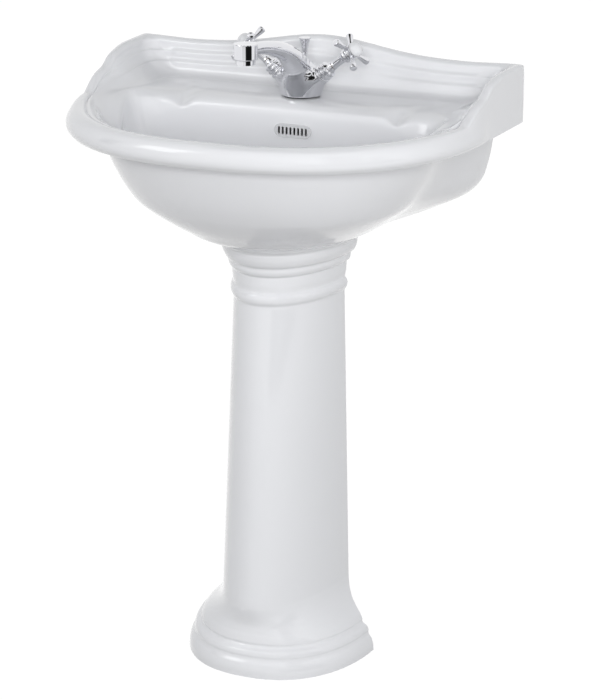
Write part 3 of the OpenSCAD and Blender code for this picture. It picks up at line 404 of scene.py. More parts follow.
def crest_rise(x):
    """Height of the upstand's crest above the rim."""
    wave = WAVE_DIP * ease(0.7, 1, np.abs(x) * 2 / BASIN_W)
    return UPSTAND_H - WAVE_DIP + wave + DOME_H * np.exp(-((x / DOME_W) ** 2))


def roll_inset(a):
    return ROLL_MID - ((ROLL_MID + RIM_BULGE) if a < 90 else ROLL_MID) * cosd(a)


def roll_drop(a):
    if a < 0:
        return BULGE_DROP - (FASCIA_H - BULGE_DROP) / sind(ROLL_LOW) * sind(a)
    if a < 90:
        return BULGE_DROP * (1 - sind(a))
    return ROLL_FALL * (1 - sind(a))


def bowl_drop(s):
    """Drop of the bowl's front half at share s of the plan."""
    return BOWL_LIP + (BOWL_DEPTH - BOWL_LIP - BOWL_DISH) * (1 - s ** 8) ** 3.3 + BOWL_DISH * (1 - s)


def half_w(d):
    return mix(BASIN_W / 2, PLAN_A, np.minimum(1, np.asarray(d, float) / RIM_STRAIGHT))


def side_inset(row, d):
    return mix(row.back, row.front, ease(110, 180, d))


def back_share(t):
    """1 at the ends of the front's curve, where the side's section holds, and 0 along its middle."""
    return 1 - ease(10, 34, np.minimum(t, 180 - t))


def corner_r(row):
    """Radius of a ring's back corners."""
    return 29 if row.wall > 140 else mix(2.5, 26, float(ease(8, 21, row.wall)))


def round_corner(p, cx, cy, r):
    """Moves the points near the two corners, at cx to either side and at cy, onto arcs."""
    out = p.copy()
    u = cx - np.abs(p[:, 0])
    v = cy - p[:, 1]
    s = np.maximum(u, v)
    on_back = u > v
    q = np.where(on_back, 45 + 45 * s / r, 45 - 45 * s / r)
    x = cx - r + r * cosd(q) - np.where(on_back, 0, u)
    y = cy - r + r * sind(q) - np.where(on_back, v, 0)
    hit = s < r
    out[hit, 0] = np.sign(p[hit, 0]) * x[hit]
    out[hit, 1] = y[hit]
    return out


def front_point(inset, t):
    return np.stack([
        (PLAN_A - inset) * spow(cosd(t), 2 / RIM_POWER),
        -RIM_STRAIGHT - (PLAN_B - inset) * sind(t) ** (2 / RIM_POWER),
    ], -1)


def side_plan(row, i):
    d = mix(row.wall, RIM_STRAIGHT + (PLAN_B - row.front) * SPLIT_K, i / SIDE_STEPS)
    ins = side_inset(row, d)
    k = np.clip((d - RIM_STRAIGHT) / (PLAN_B - ins), 0, 1)
    turn_in = (PLAN_A - ins) * (1 - (1 - k ** RIM_POWER) ** (1 / RIM_POWER))
    x = half_w(d) - ins - np.where(d > RIM_STRAIGHT, turn_in, 0)
    return np.stack([x, -d], -1)


def back_plan(row, xc, j):
    x = -xc + 2 * xc * j / BACK_STEPS
    return np.stack([x, -row.wall - row.step * ease(MOULD_W + 6, MOULD_W - 6, np.abs(x))], -1)


def grooves(row, x, d):
    """Depth of the drain grooves through the bowl's back edge."""
    mid = GROOVE_X + 30 * float(ease(138, 90, row.wall))
    along = ease(row.wall + 34, row.wall + 4, d)
    return row.groove * GROOVE_DEPTH * np.exp(-(((np.abs(x) - mid) / GROOVE_R) ** 2)) * along


def row_z(row, rise, p):
    return RIM_Z - row.drop + row.rise * rise - grooves(row, p[:, 0], -p[:, 1])


def mirrored(half):
    back = half[-2::-1].copy()
    back[:, 0] *= -1
    return np.concatenate([half, back])


def upper_row(row, in_bowl, r):
    """Ring of the rim, or of the upstand, the deck and the bowl's edge where in_bowl is set."""
    xc = float(half_w(row.wall)) - float(side_inset(row, row.wall))
    p = round_corner(side_plan(row, np.arange(SIDE_STEPS, dtype=float)), xc, -row.wall, r)
    sides = np.column_stack([p, row_z(row, wing_rise(-p[:, 1]), p)])
    t = mix(SPLIT_T, 90, np.arange(FRONT_STEPS // 2 + 1) * 2 / FRONT_STEPS)
    w = back_share(t)
    a = front_point(row.front, t)
    if in_bowl:
        b = mix(WASTE[None], front_point(RIM_ROLL, t), row.at)
        zb = RIM_Z - bowl_drop(row.at)
    else:
        b = front_point(roll_inset(row.at), t)
        zb = RIM_Z - roll_drop(row.at)
    q = b + (a - b) * w[:, None]
    fronts = np.column_stack([q, mix(zb, row_z(row, wing_rise(-q[:, 1]), q), w)])
    c = round_corner(back_plan(row, xc, np.arange(1, BACK_STEPS, dtype=float)), xc, -row.wall, r)
    backs = np.column_stack([c, row_z(row, crest_rise(c[:, 0] / xc * BASIN_W / 2), c)])
    return np.concatenate([mirrored(np.concatenate([sides, fronts])), backs])


def oval_r(a, xr, yr, n):
    return ((np.abs(np.cos(a)) / xr) ** n + (np.abs(np.sin(a)) / yr) ** n) ** (-1 / n)


def bowl_ring(edge, row):
    i = np.arange(len(edge))
    f = np.clip(i - SIDE_STEPS, 0, FRONT_STEPS)
    t = mix(SPLIT_T, 180 - SPLIT_T, f / FRONT_STEPS)
    w = np.where(i > 2 * SIDE_STEPS + FRONT_STEPS, 1, back_share(t))
    out = edge[:, :2] - WASTE
    a = np.arctan2(out[:, 1], out[:, 0])
    r = oval_r(a, BOWL_SIDE * row.width, (WASTE_Y - DECK_D) * row.depth, row.power)
    back = r[:, None] * np.stack([np.cos(a), np.sin(a)], -1)
    front = (front_point(RIM_ROLL, t) - WASTE) * row.front
    p = front + (back - front) * w[:, None] + WASTE
    return np.column_stack([p, RIM_Z - mix(bowl_drop(row.front), row.drop, w)])


def floor_ring(edge, radius, z):
    a = np.arctan2(edge[:, 1] + WASTE_Y, edge[:, 0])
    return np.column_stack([radius * np.cos(a), -WASTE_Y + radius * np.sin(a), np.full(len(edge), z)])


def upsample(rings, k):
    """Smooth rings between the given ones, through every given ring."""
    r = np.array(rings)
    out = []
    n = len(r)
    for i in range(n - 1):
        p0, p1, p2, p3 = r[max(i - 1, 0)], r[i], r[i + 1], r[min(i + 2, n - 1)]
        d0 = np.linalg.norm(p1 - p0, axis=1)[:, None] ** 0.5 + 1e-6
        d1 = np.linalg.norm(p2 - p1, axis=1)[:, None] ** 0.5 + 1e-6
        d2 = np.linalg.norm(p3 - p2, axis=1)[:, None] ** 0.5 + 1e-6
        m1 = p2 - p1 + d1 * ((p1 - p0) / d0 - (p2 - p0) / (d0 + d1))
        m2 = p2 - p1 + d1 * ((p3 - p2) / d2 - (p3 - p1) / (d1 + d2))
        if i == 0:
            m1 = p2 - p1
        if i == n - 2:
            m2 = p2 - p1
        for s in range(k):
            t = s / k
            out.append(
                (2 * t**3 - 3 * t**2 + 1) * p1 + (t**3 - 2 * t**2 + t) * m1
                + (3 * t**2 - 2 * t**3) * p2 + (t**3 - t**2) * m2
            )
    out.append(r[-1])
    return out


def relax(rings, first, rounds=70):
    """Evens out the bowl's back corners and the wings' feet, from the first ring given inwards."""
    x, d, z = np.abs(rings[..., 0]), -rings[..., 1], rings[..., 2]
    corner = ease(172, 200, x) * ease(84, 118, d) * (1 - ease(225, 262, d))
    corner = corner * ease(RIM_Z - 75, RIM_Z - 45, z) * (1 - ease(RIM_Z + 3, RIM_Z + 14, z))
    corner[:first + 4] = 0
    corner[-3:] = 0
    share = 0.5 * corner[..., None]
    for _ in range(rounds):
        near = np.roll(rings, 1, 1) + np.roll(rings, -1, 1) + np.roll(rings, 1, 0) + np.roll(rings, -1, 0)
        rings = rings + share * (near / 4 - rings)
    return rings


# ------------------------------------------------------------------ basin: body and holes
# how far each size has grown from the pedestal, at 0, to the rim, at 1
HIP = [[0, 0], [0.05, 0.15], [0.15, 0.43], [0.26, 0.69], [0.4, 0.85], [0.58, 0.93], [0.8, 0.98], [1, 1]]
SIDE = [[0, 0], [0.05, 0.16], [0.15, 0.33], [0.26, 0.49], [0.4, 0.675], [0.58, 0.81], [0.8, 0.927], [1, 1]]
FRONT = [
    [0, 0], [0.03, 0.16], [0.07, 0.3], [0.15, 0.43], [0.22, 0.54], [0.31, 0.655], [0.41, 0.75],
    [0.58, 0.862], [0.8, 0.957], [1, 1],
]
# shares of the body's height, with five more rings between each pair
BODY_LEVELS = [0, 0.03, 0.07, 0.13, 0.2, 0.29, 0.4, 0.54, 0.7, 0.86, 0.96]


def hip_x(s):
    """Half width of the body at the wall."""
    return mix(BODY_BASE_HIP, BODY_TOP_W / 2, one(HIP, s))


def bowl_x(s):
    """Half width of the body's round front."""
    return mix(BODY_BASE_X, BODY_TOP_W / 2 - BODY_TAPER, one(SIDE, s))


def body_depth(s):
    return mix(BODY_BASE_D, BASIN_D - OVERHANG, one(FRONT, s))


def body_start(s):
    """Distance from the wall to where the body's round front starts."""
    return mix(120, 180, float(ease(0, 0.4, s)))


def body_x(s, d):
    return mix(hip_x(s), bowl_x(s), ease(0, body_start(s), d))


def body_z(s):
    return mix(PED_H, FASCIA_Z + 3, s)


def body_ring(s, z):
    st = body_start(s)
    d = st * np.arange(SIDE_STEPS) / SIDE_STEPS
    sides = np.column_stack([body_x(s, d), -d, np.full(len(d), z)])
    t = 180 * np.arange(FRONT_STEPS // 2 + 1) / FRONT_STEPS
    fronts = np.column_stack([
        bowl_x(s) * spow(cosd(t), 2 / BODY_POWER),
        -st - (body_depth(s) - st) * sind(t) ** (2 / BODY_POWER),
        np.full(len(t), z),
    ])
    j = np.arange(1, BACK_STEPS)
    backs = np.column_stack([hip_x(s) * (2 * j / BACK_STEPS - 1), 0 * j, np.full(len(j), z)])
    return np.concatenate([mirrored(np.concatenate([sides, fronts])), backs])


def basin_rings():
    """Rings over the underside, up the body, round the rim and down the bowl to the waste."""
    fine = np.interp(np.linspace(0, 10, 61), np.arange(11), BODY_LEVELS)
    body = [body_ring(s, body_z(s)) for s in fine]
    middle = np.array([0, -70, PED_H])
    underside = [mix(middle, body[0], k) for k in (0.03, 0.2, 0.4, 0.6, 0.8)]
    rim = [upper_row(r, False, corner_r(r)) for r in RIM_ROWS]
    face = [upper_row(r, True, corner_r(r)) for r in FACE_ROWS]
    edge = face[-1]
    bowl = [bowl_ring(edge, r) for r in BOWL_ROWS]
    floor = [floor_ring(edge, WASTE_FLOOR_R + 3, FLOOR_Z + 0.8), floor_ring(edge, WASTE_FLOOR_R, FLOOR_Z)]
    upper = np.array(upsample(rim + face + bowl + floor, RIM_STEPS))
    under_rim = upper_row(UNDER_ROW, False, 1)
    return underside + body + [under_rim] + list(relax(upper, RIM_STEPS * len(rim)))


def cavity_ring(s, z):
    d = mix(WALL_T, CAVITY_D, np.arange(CAVITY_STEPS + 1) / CAVITY_STEPS)
    half = np.column_stack([body_x(s, d) - WALL_T, -d, np.full(len(d), z)])
    other = half[::-1].copy()
    other[:, 0] *= -1
    return np.concatenate([half, other])


def cavity_object():
    """Cutter of the hollow between the bowl's back, the deck and the wall."""
    rings = [cavity_ring(0, PED_H - 1)]
    for s in np.linspace(0, 1, CAVITY_STEPS + 1):
        rings.append(cavity_ring(s, body_z(s) + (0.5 if s == 0 else 0)))
    rings.append(cavity_ring(1, DECK_Z - DECK_T))
    return skin_object("cavity_cutter", rings)


def bolt_cutter(x):
    at = (x, 1, RIM_Z - WALL_BOLT_DROP)
    return cutter_cylinder("bolt_hole_cutter", at, WALL_BOLT_R, WALL_T + 2, "Y")


def basin_object():
    o = skin_object("china_basin", basin_rings())
    tap_hole_z = DECK_Z - DECK_T - 5
    cut(o, [
        cavity_object(),
        cutter_cylinder("waste_hole_cutter", (0, -WASTE_Y, PED_H - 1), WASTE_HOLE_R, BOWL_DEPTH),
        cutter_cylinder("flange_recess_cutter", (0, -WASTE_Y, FLOOR_Z - 2), FLANGE_RECESS_R, 10),
        cutter_cylinder("tap_hole_cutter", (0, -TAP_Y, tap_hole_z), TAP_HOLE_R, DECK_T + 10),
        bolt_cutter(-WALL_BOLT_X),
        bolt_cutter(WALL_BOLT_X),
        slot_cutter("mouth_cutter", (GRILLE_X, -CHANNEL_Y, GRILLE_Z), MOUTH_W, MOUTH_H, 30),
    ])
    smooth_by_angle(o, 32)
    return o


# ------------------------------------------------------------------ pedestal
# share of the flare at a height above the floor, and at a distance below the pedestal's top
FOOT = [
    [0, 1], [10, 0.985], [19, 0.93], [24, 0.86], [28, 0.835], [31, 0.84], [37, 0.79],
    [41, 0.68], [44, 0.645], [47, 0.65], [54, 0.575], [61, 0.47], [72, 0.33], [85, 0.25], [FOOT_H, 0.22],
]
CROWN = [
    [0, 1], [5.5, 0.985], [8.8, 0.87], [11, 0.82], [14.3, 0.81], [21, 0.75], [28.6, 0.6], [32, 0.46],
    [34, 0.43], [38.5, 0.41], [43, 0.33], [46, 0.21], [48.5, 0.19], [59.5, 0.16], [67, 0.11], [69.5, 0.12],
    [72.5, 0.2], [78, 0.25], [83.5, 0.21], [88, 0.1], [CROWN_H, 0.08],
]


def flare(z):
    """How far the pedestal stands out past its plain oval."""
    if z < FOOT_H:
        return FOOT_FLARE * one(FOOT, z)
    if z > PED_H - CROWN_H:
        return CROWN_FLARE * one(CROWN, PED_H - z)
    up = (z - FOOT_H) / (PED_H - FOOT_H - CROWN_H)
    return mix(FOOT_FLARE * FOOT[-1][1], CROWN_FLARE * CROWN[-1][1], up)


def oval(z, out, i):
    """Points i of the pedestal's open oval, made larger all round by out."""
    w = float(ease(40, 105, z))
    a = mix(FOOT_A, SHAFT_A, w) + out
    b = mix(FOOT_B, SHAFT_B + RAKE * (1 - z / PED_H), w) + out
    n = mix(RIM_POWER, 2.0, w)
    mid, gap = mix(FOOT_MID, SHAFT_MID, w), mix(FOOT_GAP, SHAFT_GAP, w)
    t0 = math.degrees(math.asin(((gap - mid) / b) ** (n / 2)))
    t = mix(t0, 180 - t0, i / SHELL_STEPS)
    return np.column_stack([a * spow(cosd(t), 2 / n), -mid - b * np.abs(sind(t)) ** (2 / n)])


def shell_ring(z):
    i = np.arange(SHELL_STEPS + 1, dtype=float)
    p = np.concatenate([oval(z, flare(z), i), oval(z, flare(z) - WALL_T, i[::-1])])
    return np.column_stack([p, np.full(len(p), z)])


def pedestal_object():
    """Shell of the pedestal, open at the back."""
    levels = np.concatenate([
        np.linspace(0, FOOT_H, 101),
        np.linspace(FOOT_H + 4, PED_H - CROWN_H - 4, 50),
        np.linspace(PED_H - CROWN_H, PED_H, 122),
    ])
    rings = [shell_ring(z) for z in levels]
    n, m = len(rings[0]), len(rings)
    faces = strips(n, m)
    top = (m - 1) * n
    for i in range(n // 2 - 1):
        a, b, c, d = i, i + 1, n - 2 - i, n - 1 - i
        faces.append((d, c, b, a))
        faces.append((top + a, top + b, top + c, top + d))
    o = mesh_object("china_pedestal", np.concatenate(rings), faces)
    smooth_by_angle(o, 40)
    return o


# ------------------------------------------------------------------ tap body, one smooth casting
# the trumpet's radius by height, and the spout's middle line and radius by share of its length
TRUMPET_Z = [0, 4, 9, 15, 21, 26, 32, 38, 43]
TRUMPET_R = [24.6, 24.5, 24.8, 25.7, 26.8, 26.6, 24, 18, 8]
SPOUT_Y = [[0, 2], [0.2, -14], [0.45, -60], [0.75, -124], [1, -REACH + 6]]
SPOUT_Z = [[0, 12], [0.2, 42], [0.45, 72], [0.75, 89.5], [1, NOZZLE_Z + 12]]
SPOUT_R = [[0, 23], [0.2, 19.5], [0.45, 13], [0.75, 9.2], [1, 8.4]]
SPOUT_PARTS = 22
# found by trial: from this corner the net closes at both steps, with two faces on every edge
GRID_FROM, GRID_TO = (-44, -206.31, -2.11), (44, 36, 112)


def at_tap(z=0, x=0, y=0):
    return (x, -TAP_Y + y, DECK_Z + z)


def valve_turn(side):
    return Matrix.Rotation(math.radians(side * SPLAY), 4, "Y") @ Matrix.Rotation(math.radians(TILT), 4, "X")


def valve_at(side, s):
    """Point on a valve's axis, s from its root."""
    v = valve_turn(side).to_3x3() @ Vector((0, 0, s))
    return (v.x, -TAP_Y + v.y, DECK_Z + ROOT_Z + v.z)


def nets(f, lo, hi, h):
    """Surface of f = 0 on a grid, one vertex per crossed cell."""
    ax = [np.arange(lo[k], hi[k] + h, h) for k in range(3)]
    v = f(*np.meshgrid(*ax, indexing="ij", sparse=True)).astype(np.float32)
    n = v.shape
    cells = tuple(k - 1 for k in n)
    acc = np.zeros(cells + (3,), np.float32)
    cnt = np.zeros(cells, np.float32)
    for axis in range(3):
        u, w = [k for k in range(3) if k != axis]
        for b in (0, 1):
            for c in (0, 1):
                near = [0, 0, 0]
                near[u], near[w] = b, c
                far = list(near)
                far[axis] += 1
                a = v[tuple(slice(near[k], near[k] + cells[k]) for k in range(3))]
                d = v[tuple(slice(far[k], far[k] + cells[k]) for k in range(3))]
                hit = (a < 0) != (d < 0)
                t = np.where(hit, a / np.where(hit, a - d, 1), 0)
                for k in range(3):
                    acc[..., k] += np.where(hit, (t if k == axis else near[k]), 0)
                cnt += hit
    used = cnt > 0
    idx = -np.ones(cells, np.int64)
    idx[used] = np.arange(used.sum())
    pts = (np.argwhere(used) + acc[used] / cnt[used][:, None]) * h + np.array(lo)
    quads = []
    for axis in range(3):
        u, w = [(1, 2), (2, 0), (0, 1)][axis]
        a = v.take(range(n[axis] - 1), axis)
        d = v.take(range(1, n[axis]), axis)
        p = np.argwhere((a < 0) != (d < 0))
        p = p[(p[:, u] > 0) & (p[:, w] > 0) & (p[:, u] < n[u] - 1) & (p[:, w] < n[w] - 1)]
        around = []
        for du, dw in ((1, 1), (0, 1), (0, 0), (1, 0)):
            q = p.copy()
            q[:, u] -= du
            q[:, w] -= dw
            around.append(idx[tuple(q.T)])
        quad = np.stack(around, 1)
        flip = v[tuple(p.T)] >= 0
        quad[flip] = quad[flip][:, ::-1]
        quads.append(quad)
    return pts, np.concatenate(quads)


def smin(a, b, k):
    """Smaller of two distances, with a fillet of size k between their shapes."""
    h = np.clip(0.5 + 0.5 * (b - a) / k, 0, 1)
    return b + (a - b) * h - k * h * (1 - h)


def cone(px, py, pz, a, b, ra, rb):
    """Distance to a round-ended cone from a to b."""
    a, b = np.array(a, float), np.array(b, float)
    d = b - a
    t = ((px - a[0]) * d[0] + (py - a[1]) * d[1] + (pz - a[2]) * d[2]) / (d @ d)
    t = np.clip(t, 0, 1)
    r = ra + (rb - ra) * t
    x, y, z = px - a[0] - d[0] * t, py - a[1] - d[1] * t, pz - a[2] - d[2] * t
    return np.sqrt(x ** 2 + y ** 2 + z ** 2) - r


def arm_field(x, y, z, side):
    v = valve_turn(side).to_3x3() @ Vector((0, 0, 1))
    root = np.array([0, 0, ROOT_Z])
    end = root + np.array(v) * (ARM_L + 6)
    stop = (x * v[0] + y * v[1] + (z - ROOT_Z) * v[2]) - ARM_L
    return np.maximum(cone(x, y, z, root, end, ARM_R + 6, ARM_R - 1), stop)


def spout_field(x, y, z):
    t = np.linspace(0, 1, SPOUT_PARTS + 1)
    ys, zs, rs = curve(SPOUT_Y, t), curve(SPOUT_Z, t), curve(SPOUT_R, t)
    tube = np.inf
    for i in range(SPOUT_PARTS):
        c = cone(x, y, z, (0, ys[i], zs[i]), (0, ys[i + 1], zs[i + 1]), rs[i], rs[i + 1])
        tube = np.minimum(tube, c)
    return tube


def tap_field(x, y, z):
    """Distance to the trumpet body, with its two valve arms, its spout and the spout's head."""
    rho = np.sqrt(x * x + y * y)
    d = np.maximum((rho - np.interp(z, TRUMPET_Z, TRUMPET_R)) * 0.95, np.maximum(1.4 - z, z - 42))
    for side in (-1, 1):
        d = smin(d, arm_field(x, y, z, side), 14)
    d = smin(d, spout_field(x, y, z), 17)
    rn = np.sqrt(x * x + (y + REACH) ** 2)
    head = np.maximum(rn - NOZZLE_R, np.maximum(NOZZLE_Z + 0.6 - z, z - (NOZZLE_Z + 22)))
    d = smin(d, head, 4)
    return np.maximum(d, 1.3 - z)


def valve_cutter(side):
    profile = [(VALVE_BORE_R, 0), (VALVE_BORE_R, 40)]
    return lathe("valve_cutter", profile, valve_at(side, 14), valve_turn(side))


def tap_object():
    pts, quads = nets(tap_field, GRID_FROM, GRID_TO, TAP_STEP)
    o = mesh_object("chrome_tap_body", pts + np.array([0, -TAP_Y, DECK_Z]), quads)
    cut(o, [
        cutter_cylinder("nozzle_cutter", at_tap(NOZZLE_Z - 1, 0, -REACH), NOZZLE_BORE_R, 13),
        cutter_cylinder("right_tail_cutter", at_tap(-5, TAIL_X), TAIL_BORE_R, 14),
        cutter_cylinder("left_tail_cutter", at_tap(-5, -TAIL_X), TAIL_BORE_R, 14),
        cutter_cylinder("stud_cutter", at_tap(-5, 0, -STUD_Y), STUD_BORE_R, 17),
        cutter_cylinder("rod_cutter", at_tap(-1, 0, ROD_Y), ROD_BORE_R, 60),
        valve_cutter(-1),
        valve_cutter(1),
    ])
    smooth_by_angle(o, 50)
    return o


# ------------------------------------------------------------------ turned pieces of a valve
def bonnet_object(side, word):
    r = ARM_R
    profile = [
        (4.1, 0), (r, 0), (r + 1, 1), (r + 1, 3.5), (r, 4.5), (r - 1.5, 5), (r - 1.5, 6.5), (r, 7),
        (r + 0.3, 9), (r, 11), (r - 1.5, 11.5), (r - 1.5, 13), (r - 0.5, 13.5), (r - 0.5, 16.5),
        (r - 2, 17.5), (r - 4, 19), (r - 5.5, 22), (r - 6, BONNET_L), (4.1, BONNET_L),
    ]
    at = valve_at(side, ARM_L)
    return lathe("chrome_bonnet_" + word, soften(profile, 0.6, 3), at, valve_turn(side), closed=True)


def hub_object(side, word):
    neck = CROSS_L - ARM_L - BONNET_L - 0.4
    profile = [
        (4.15, -neck), (6, -neck), (6.4, -neck + 1), (5.6, -neck + 3), (5.8, -20), (7, -16), (9.4, -13),
        (10.2, -10), (9.4, -7.5), (8.2, -6.5), (8.2, -5.5), (11.4, -5), (11.6, -3.5), (10.6, -2.5),
        (9.6, 0), (10.6, 2.5), (11.6, 3.5), (11.4, 4.5), (5.2, 4.5), (5.2, -3), (4.15, -3),
    ]
    at = valve_at(side, CROSS_L)
    return lathe("chrome_cross_" + word, soften(profile, 0.7, 3), at, valve_turn(side), closed=True)


def spoke_object(side, k):
    profile = [
        (0, 5.6), (3.4, 5.6), (3, 9), (2.9, 12), (3.3, 17), (4.2, 22), (5, 26.5), (5.3, 29.4),
        (5.1, 30.8), (4.2, 31.7), (0, 32),
    ]
    spin = Matrix.Rotation(math.radians(45 + 90 * k), 4, "Z") @ Matrix.Rotation(math.radians(90), 4, "Y")
    at = valve_at(side, CROSS_L)
    return lathe("spoke", soften(profile, 1.0, 4), at, valve_turn(side) @ spin, seg=SPOKE_STEPS)


def cross_object(side, word):
    """Cross handle: a hub and its four spokes in one piece."""
    hub = hub_object(side, word)
    spokes = [spoke_object(side, k) for k in range(4)]
    bm = bmesh.new()
    for p in [hub] + spokes:
        bm.from_mesh(p.data)
    bm.to_mesh(hub.data)
    bm.free()
    for p in spokes:
        bpy.data.objects.remove(p)
    hub.data.polygons.foreach_set("use_smooth", [True] * len(hub.data.polygons))
    return hub


def cap_object(side, word):
    profile = [
        (0, 1), (5, 1), (5, 4.5), (10.4, 4.5), (10.9, 5.4), (10.9, 7.6), (10.3, 10), (8.9, 12.6),
        (6.6, 14.7), (3.6, 16), (0, 16.4),
    ]
    at = valve_at(side, CROSS_L)
    return lathe("china_cap_" + word, soften(profile, 0.8, 4), at, valve_turn(side))


# ------------------------------------------------------------------ materials
def noise_texture(nt, co, scale, detail):
    noise = nt.nodes.new("ShaderNodeTexNoise")
    noise.inputs["Scale"].default_value = scale
    noise.inputs["Detail"].default_value = detail
    nt.links.new(co.outputs["Object"], noise.inputs["Vector"])
    return noise


def tone(nt, co, b, base, spread, scale):
    noise = noise_texture(nt, co, scale, 4.0)
    ramp = nt.nodes.new("ShaderNodeValToRGB")
    ramp.color_ramp.elements[0].position = 0.35
    ramp.color_ramp.elements[1].position = 0.65
    lo = [c * (1 - spread) for c in base]
    ramp.color_ramp.elements[0].color = (*lo, 1)
    ramp.color_ramp.elements[1].color = (*base, 1)
    nt.links.new(noise.outputs["Fac"], ramp.inputs["Fac"])
    nt.links.new(ramp.outputs["Color"], b.inputs["Base Color"])


def roughness(nt, co, b, lo, hi, scale):
    noise = noise_texture(nt, co, scale, 6.0)
    r = nt.nodes.new("ShaderNodeMapRange")
    r.inputs["From Min"].default_value = 0.3
    r.inputs["From Max"].default_value = 0.7
    r.inputs["To Min"].default_value = lo
    r.inputs["To Max"].default_value = hi
    nt.links.new(noise.outputs["Fac"], r.inputs["Value"])
    nt.links.new(r.outputs["Result"], b.inputs["Roughness"])


def bump(nt, co, b, scale, distance, strength):
    noise = noise_texture(nt, co, scale, 2.0)
    k = nt.nodes.new("ShaderNodeBump")
    k.inputs["Strength"].default_value = strength
    k.inputs["Distance"].default_value = distance
    nt.links.new(noise.outputs["Fac"], k.inputs["Height"])
    nt.links.new(k.outputs["Normal"], b.inputs["Normal"])


def make(name, base, rough, metallic=0.0, coat=0.0, specular=0.5, spread=0.03, scale=9.0, wave=None):
    """Procedural material: rough is (least, most), and wave is a bump's (scale, distance, strength)."""
    m = bpy.data.materials.new(name)
    m.use_nodes = True
    nt = m.node_tree
    b = nt.nodes["Principled BSDF"]
    b.inputs["Metallic"].default_value = metallic
    b.inputs["Specular IOR Level"].default_value = specular
    b.inputs["Coat Weight"].default_value = coat
    b.inputs["Coat Roughness"].default_value = 0.03
    co = nt.nodes.new("ShaderNodeTexCoord")
    tone(nt, co, b, base, spread, scale)
    roughness(nt, co, b, *rough, scale * 3)
    if wave:
        bump(nt, co, b, *wave)
    return m


CHROME_WAVE = (60.0, 0.0001, 0.1)
SLOTS = {
    "china": make(
        "glazed_china", (0.812, 0.817, 0.837), (0.09, 0.15), coat=0.7, specular=0.25,
        spread=0.012, scale=5.0, wave=(9.0, 0.0006, 0.25),
    ),
    "chrome": make(
        "polished_chrome", (0.76, 0.765, 0.795), (0.03, 0.06), metallic=1.0,
        spread=0.02, scale=20.0, wave=CHROME_WAVE,
    ),
    "brass": make(
        "machined_brass", (0.72, 0.52, 0.22), (0.18, 0.32), metallic=1.0,
        spread=0.1, scale=40.0, wave=(400.0, 0.0001, 0.2),
    ),
    "rubber": make(
        "moulded_rubber", (0.03, 0.03, 0.032), (0.55, 0.75),
        spread=0.2, scale=60.0, wave=(500.0, 0.0001, 0.3),
    ),
    "plastic": make(
        "white_plastic", (0.76, 0.76, 0.74), (0.25, 0.38),
        spread=0.03, scale=30.0, wave=(300.0, 0.0001, 0.2),
    ),
    "steel": make(
        "plated_steel", (0.50, 0.51, 0.53), (0.22, 0.36), metallic=1.0,
        spread=0.06, scale=60.0, wave=(300.0, 0.0001, 0.2),
    ),
    "copper": make(
        "copper_tube", (0.72, 0.36, 0.22), (0.2, 0.34), metallic=1.0,
        spread=0.12, scale=30.0, wave=(200.0, 0.0001, 0.2),
    ),
}


def dress(o, material):
    o.data.materials.clear()
    o.data.materials.append(material)


def paint_overflow_shade(o):
    """Paints the overflow's mouth near-black as painted shade, standing in for its deep, unlit channel."""
    # near-black painted shade on the mouth's faces, not a colour of the china
    o.data.materials.append(make("overflow_painted_shade", (0.012, 0.012, 0.012), (0.5, 0.7), spread=0.2, scale=60.0))
    for f in o.data.polygons:
        c = f.center / MM
        inside = abs(c.x - GRILLE_X) < MOUTH_W / 2 + 0.1 and abs(c.z - GRILLE_Z) < MOUTH_H / 2 + 0.1
        if inside and -MOUTH_D < c.y - WALL_SHIFT < -CHANNEL_Y + 0.1:
            f.material_index = 1


# ------------------------------------------------------------------ pieces on their bodies
basin = basin_object()
made = [
    (basin, ROOT, "basin", "china"),
    (pedestal_object(), ROOT, "pedestal", "china"),
    (tap_object(), ROOT, "tap_body", "chrome"),
]
for side, word in ((-1, "left"), (1, "right")):
    made.append((bonnet_object(side, word), ROOT, "bonnet_" + word, "chrome"))
    made.append((cross_object(side, word), "handle_" + word, "cross_handle_" + word, "chrome"))
    made.append((cap_object(side, word), "handle_" + word, "handle_cap_" + word, "china"))

gone = set()
for o, body, stands_for, slot_name in made:
    dress(o, SLOTS[slot_name])
    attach(o, body)
    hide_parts(stands_for)
    gone.add(stands_for)
# painted shade: the overflow's mouth is coloured near-black
paint_overflow_shade(basin)

slot_of = {s["node"]: s["material_slot"] for s in frame["record"]["subparts"]}
for name, o in NODES.items():
    if name not in gone:
        dress(o, SLOTS[slot_of[name]])
dress(NODES["overflow_grille"], make(
    "bright_chrome", (0.93, 0.93, 0.94), (0.12, 0.2), metallic=0.5,
    spread=0.02, scale=20.0, wave=CHROME_WAVE,
))


# ------------------------------------------------------------------ room, in metres
def math_node(nt, operation, *values):
    """Output of a math node, whose inputs are sockets or floats."""
    k = nt.nodes.new("ShaderNodeMath")
    k.operation = operation
    for i, v in enumerate(values):
        if isinstance(v, float):
            k.inputs[i].default_value = v
        else:
            nt.links.new(v, k.inputs[i])
    return k.outputs[0]


def mix_shaders(nt, fac, first, second):
    k = nt.nodes.new("ShaderNodeMixShader")
    nt.links.new(fac, k.inputs["Fac"])
    nt.links.new(first, k.inputs[1])
    nt.links.new(second, k.inputs[2])
    return k.outputs["Shader"]


def emission(nt, colour, strength):
    e = nt.nodes.new("ShaderNodeEmission")
    e.inputs["Color"].default_value = (*colour, 1)
    e.inputs["Strength"].default_value = strength
    return e.outputs["Emission"]


def seen_rays(nt):
    """1 for camera, glossy and transmission rays, and 0 for the rest."""
    path = nt.nodes.new("ShaderNodeLightPath")
    seen = path.outputs["Is Camera Ray"]
    for k in ("Is Glossy Ray", "Is Transmission Ray"):
        seen = math_node(nt, "MAXIMUM", seen, path.outputs[k])
    return seen


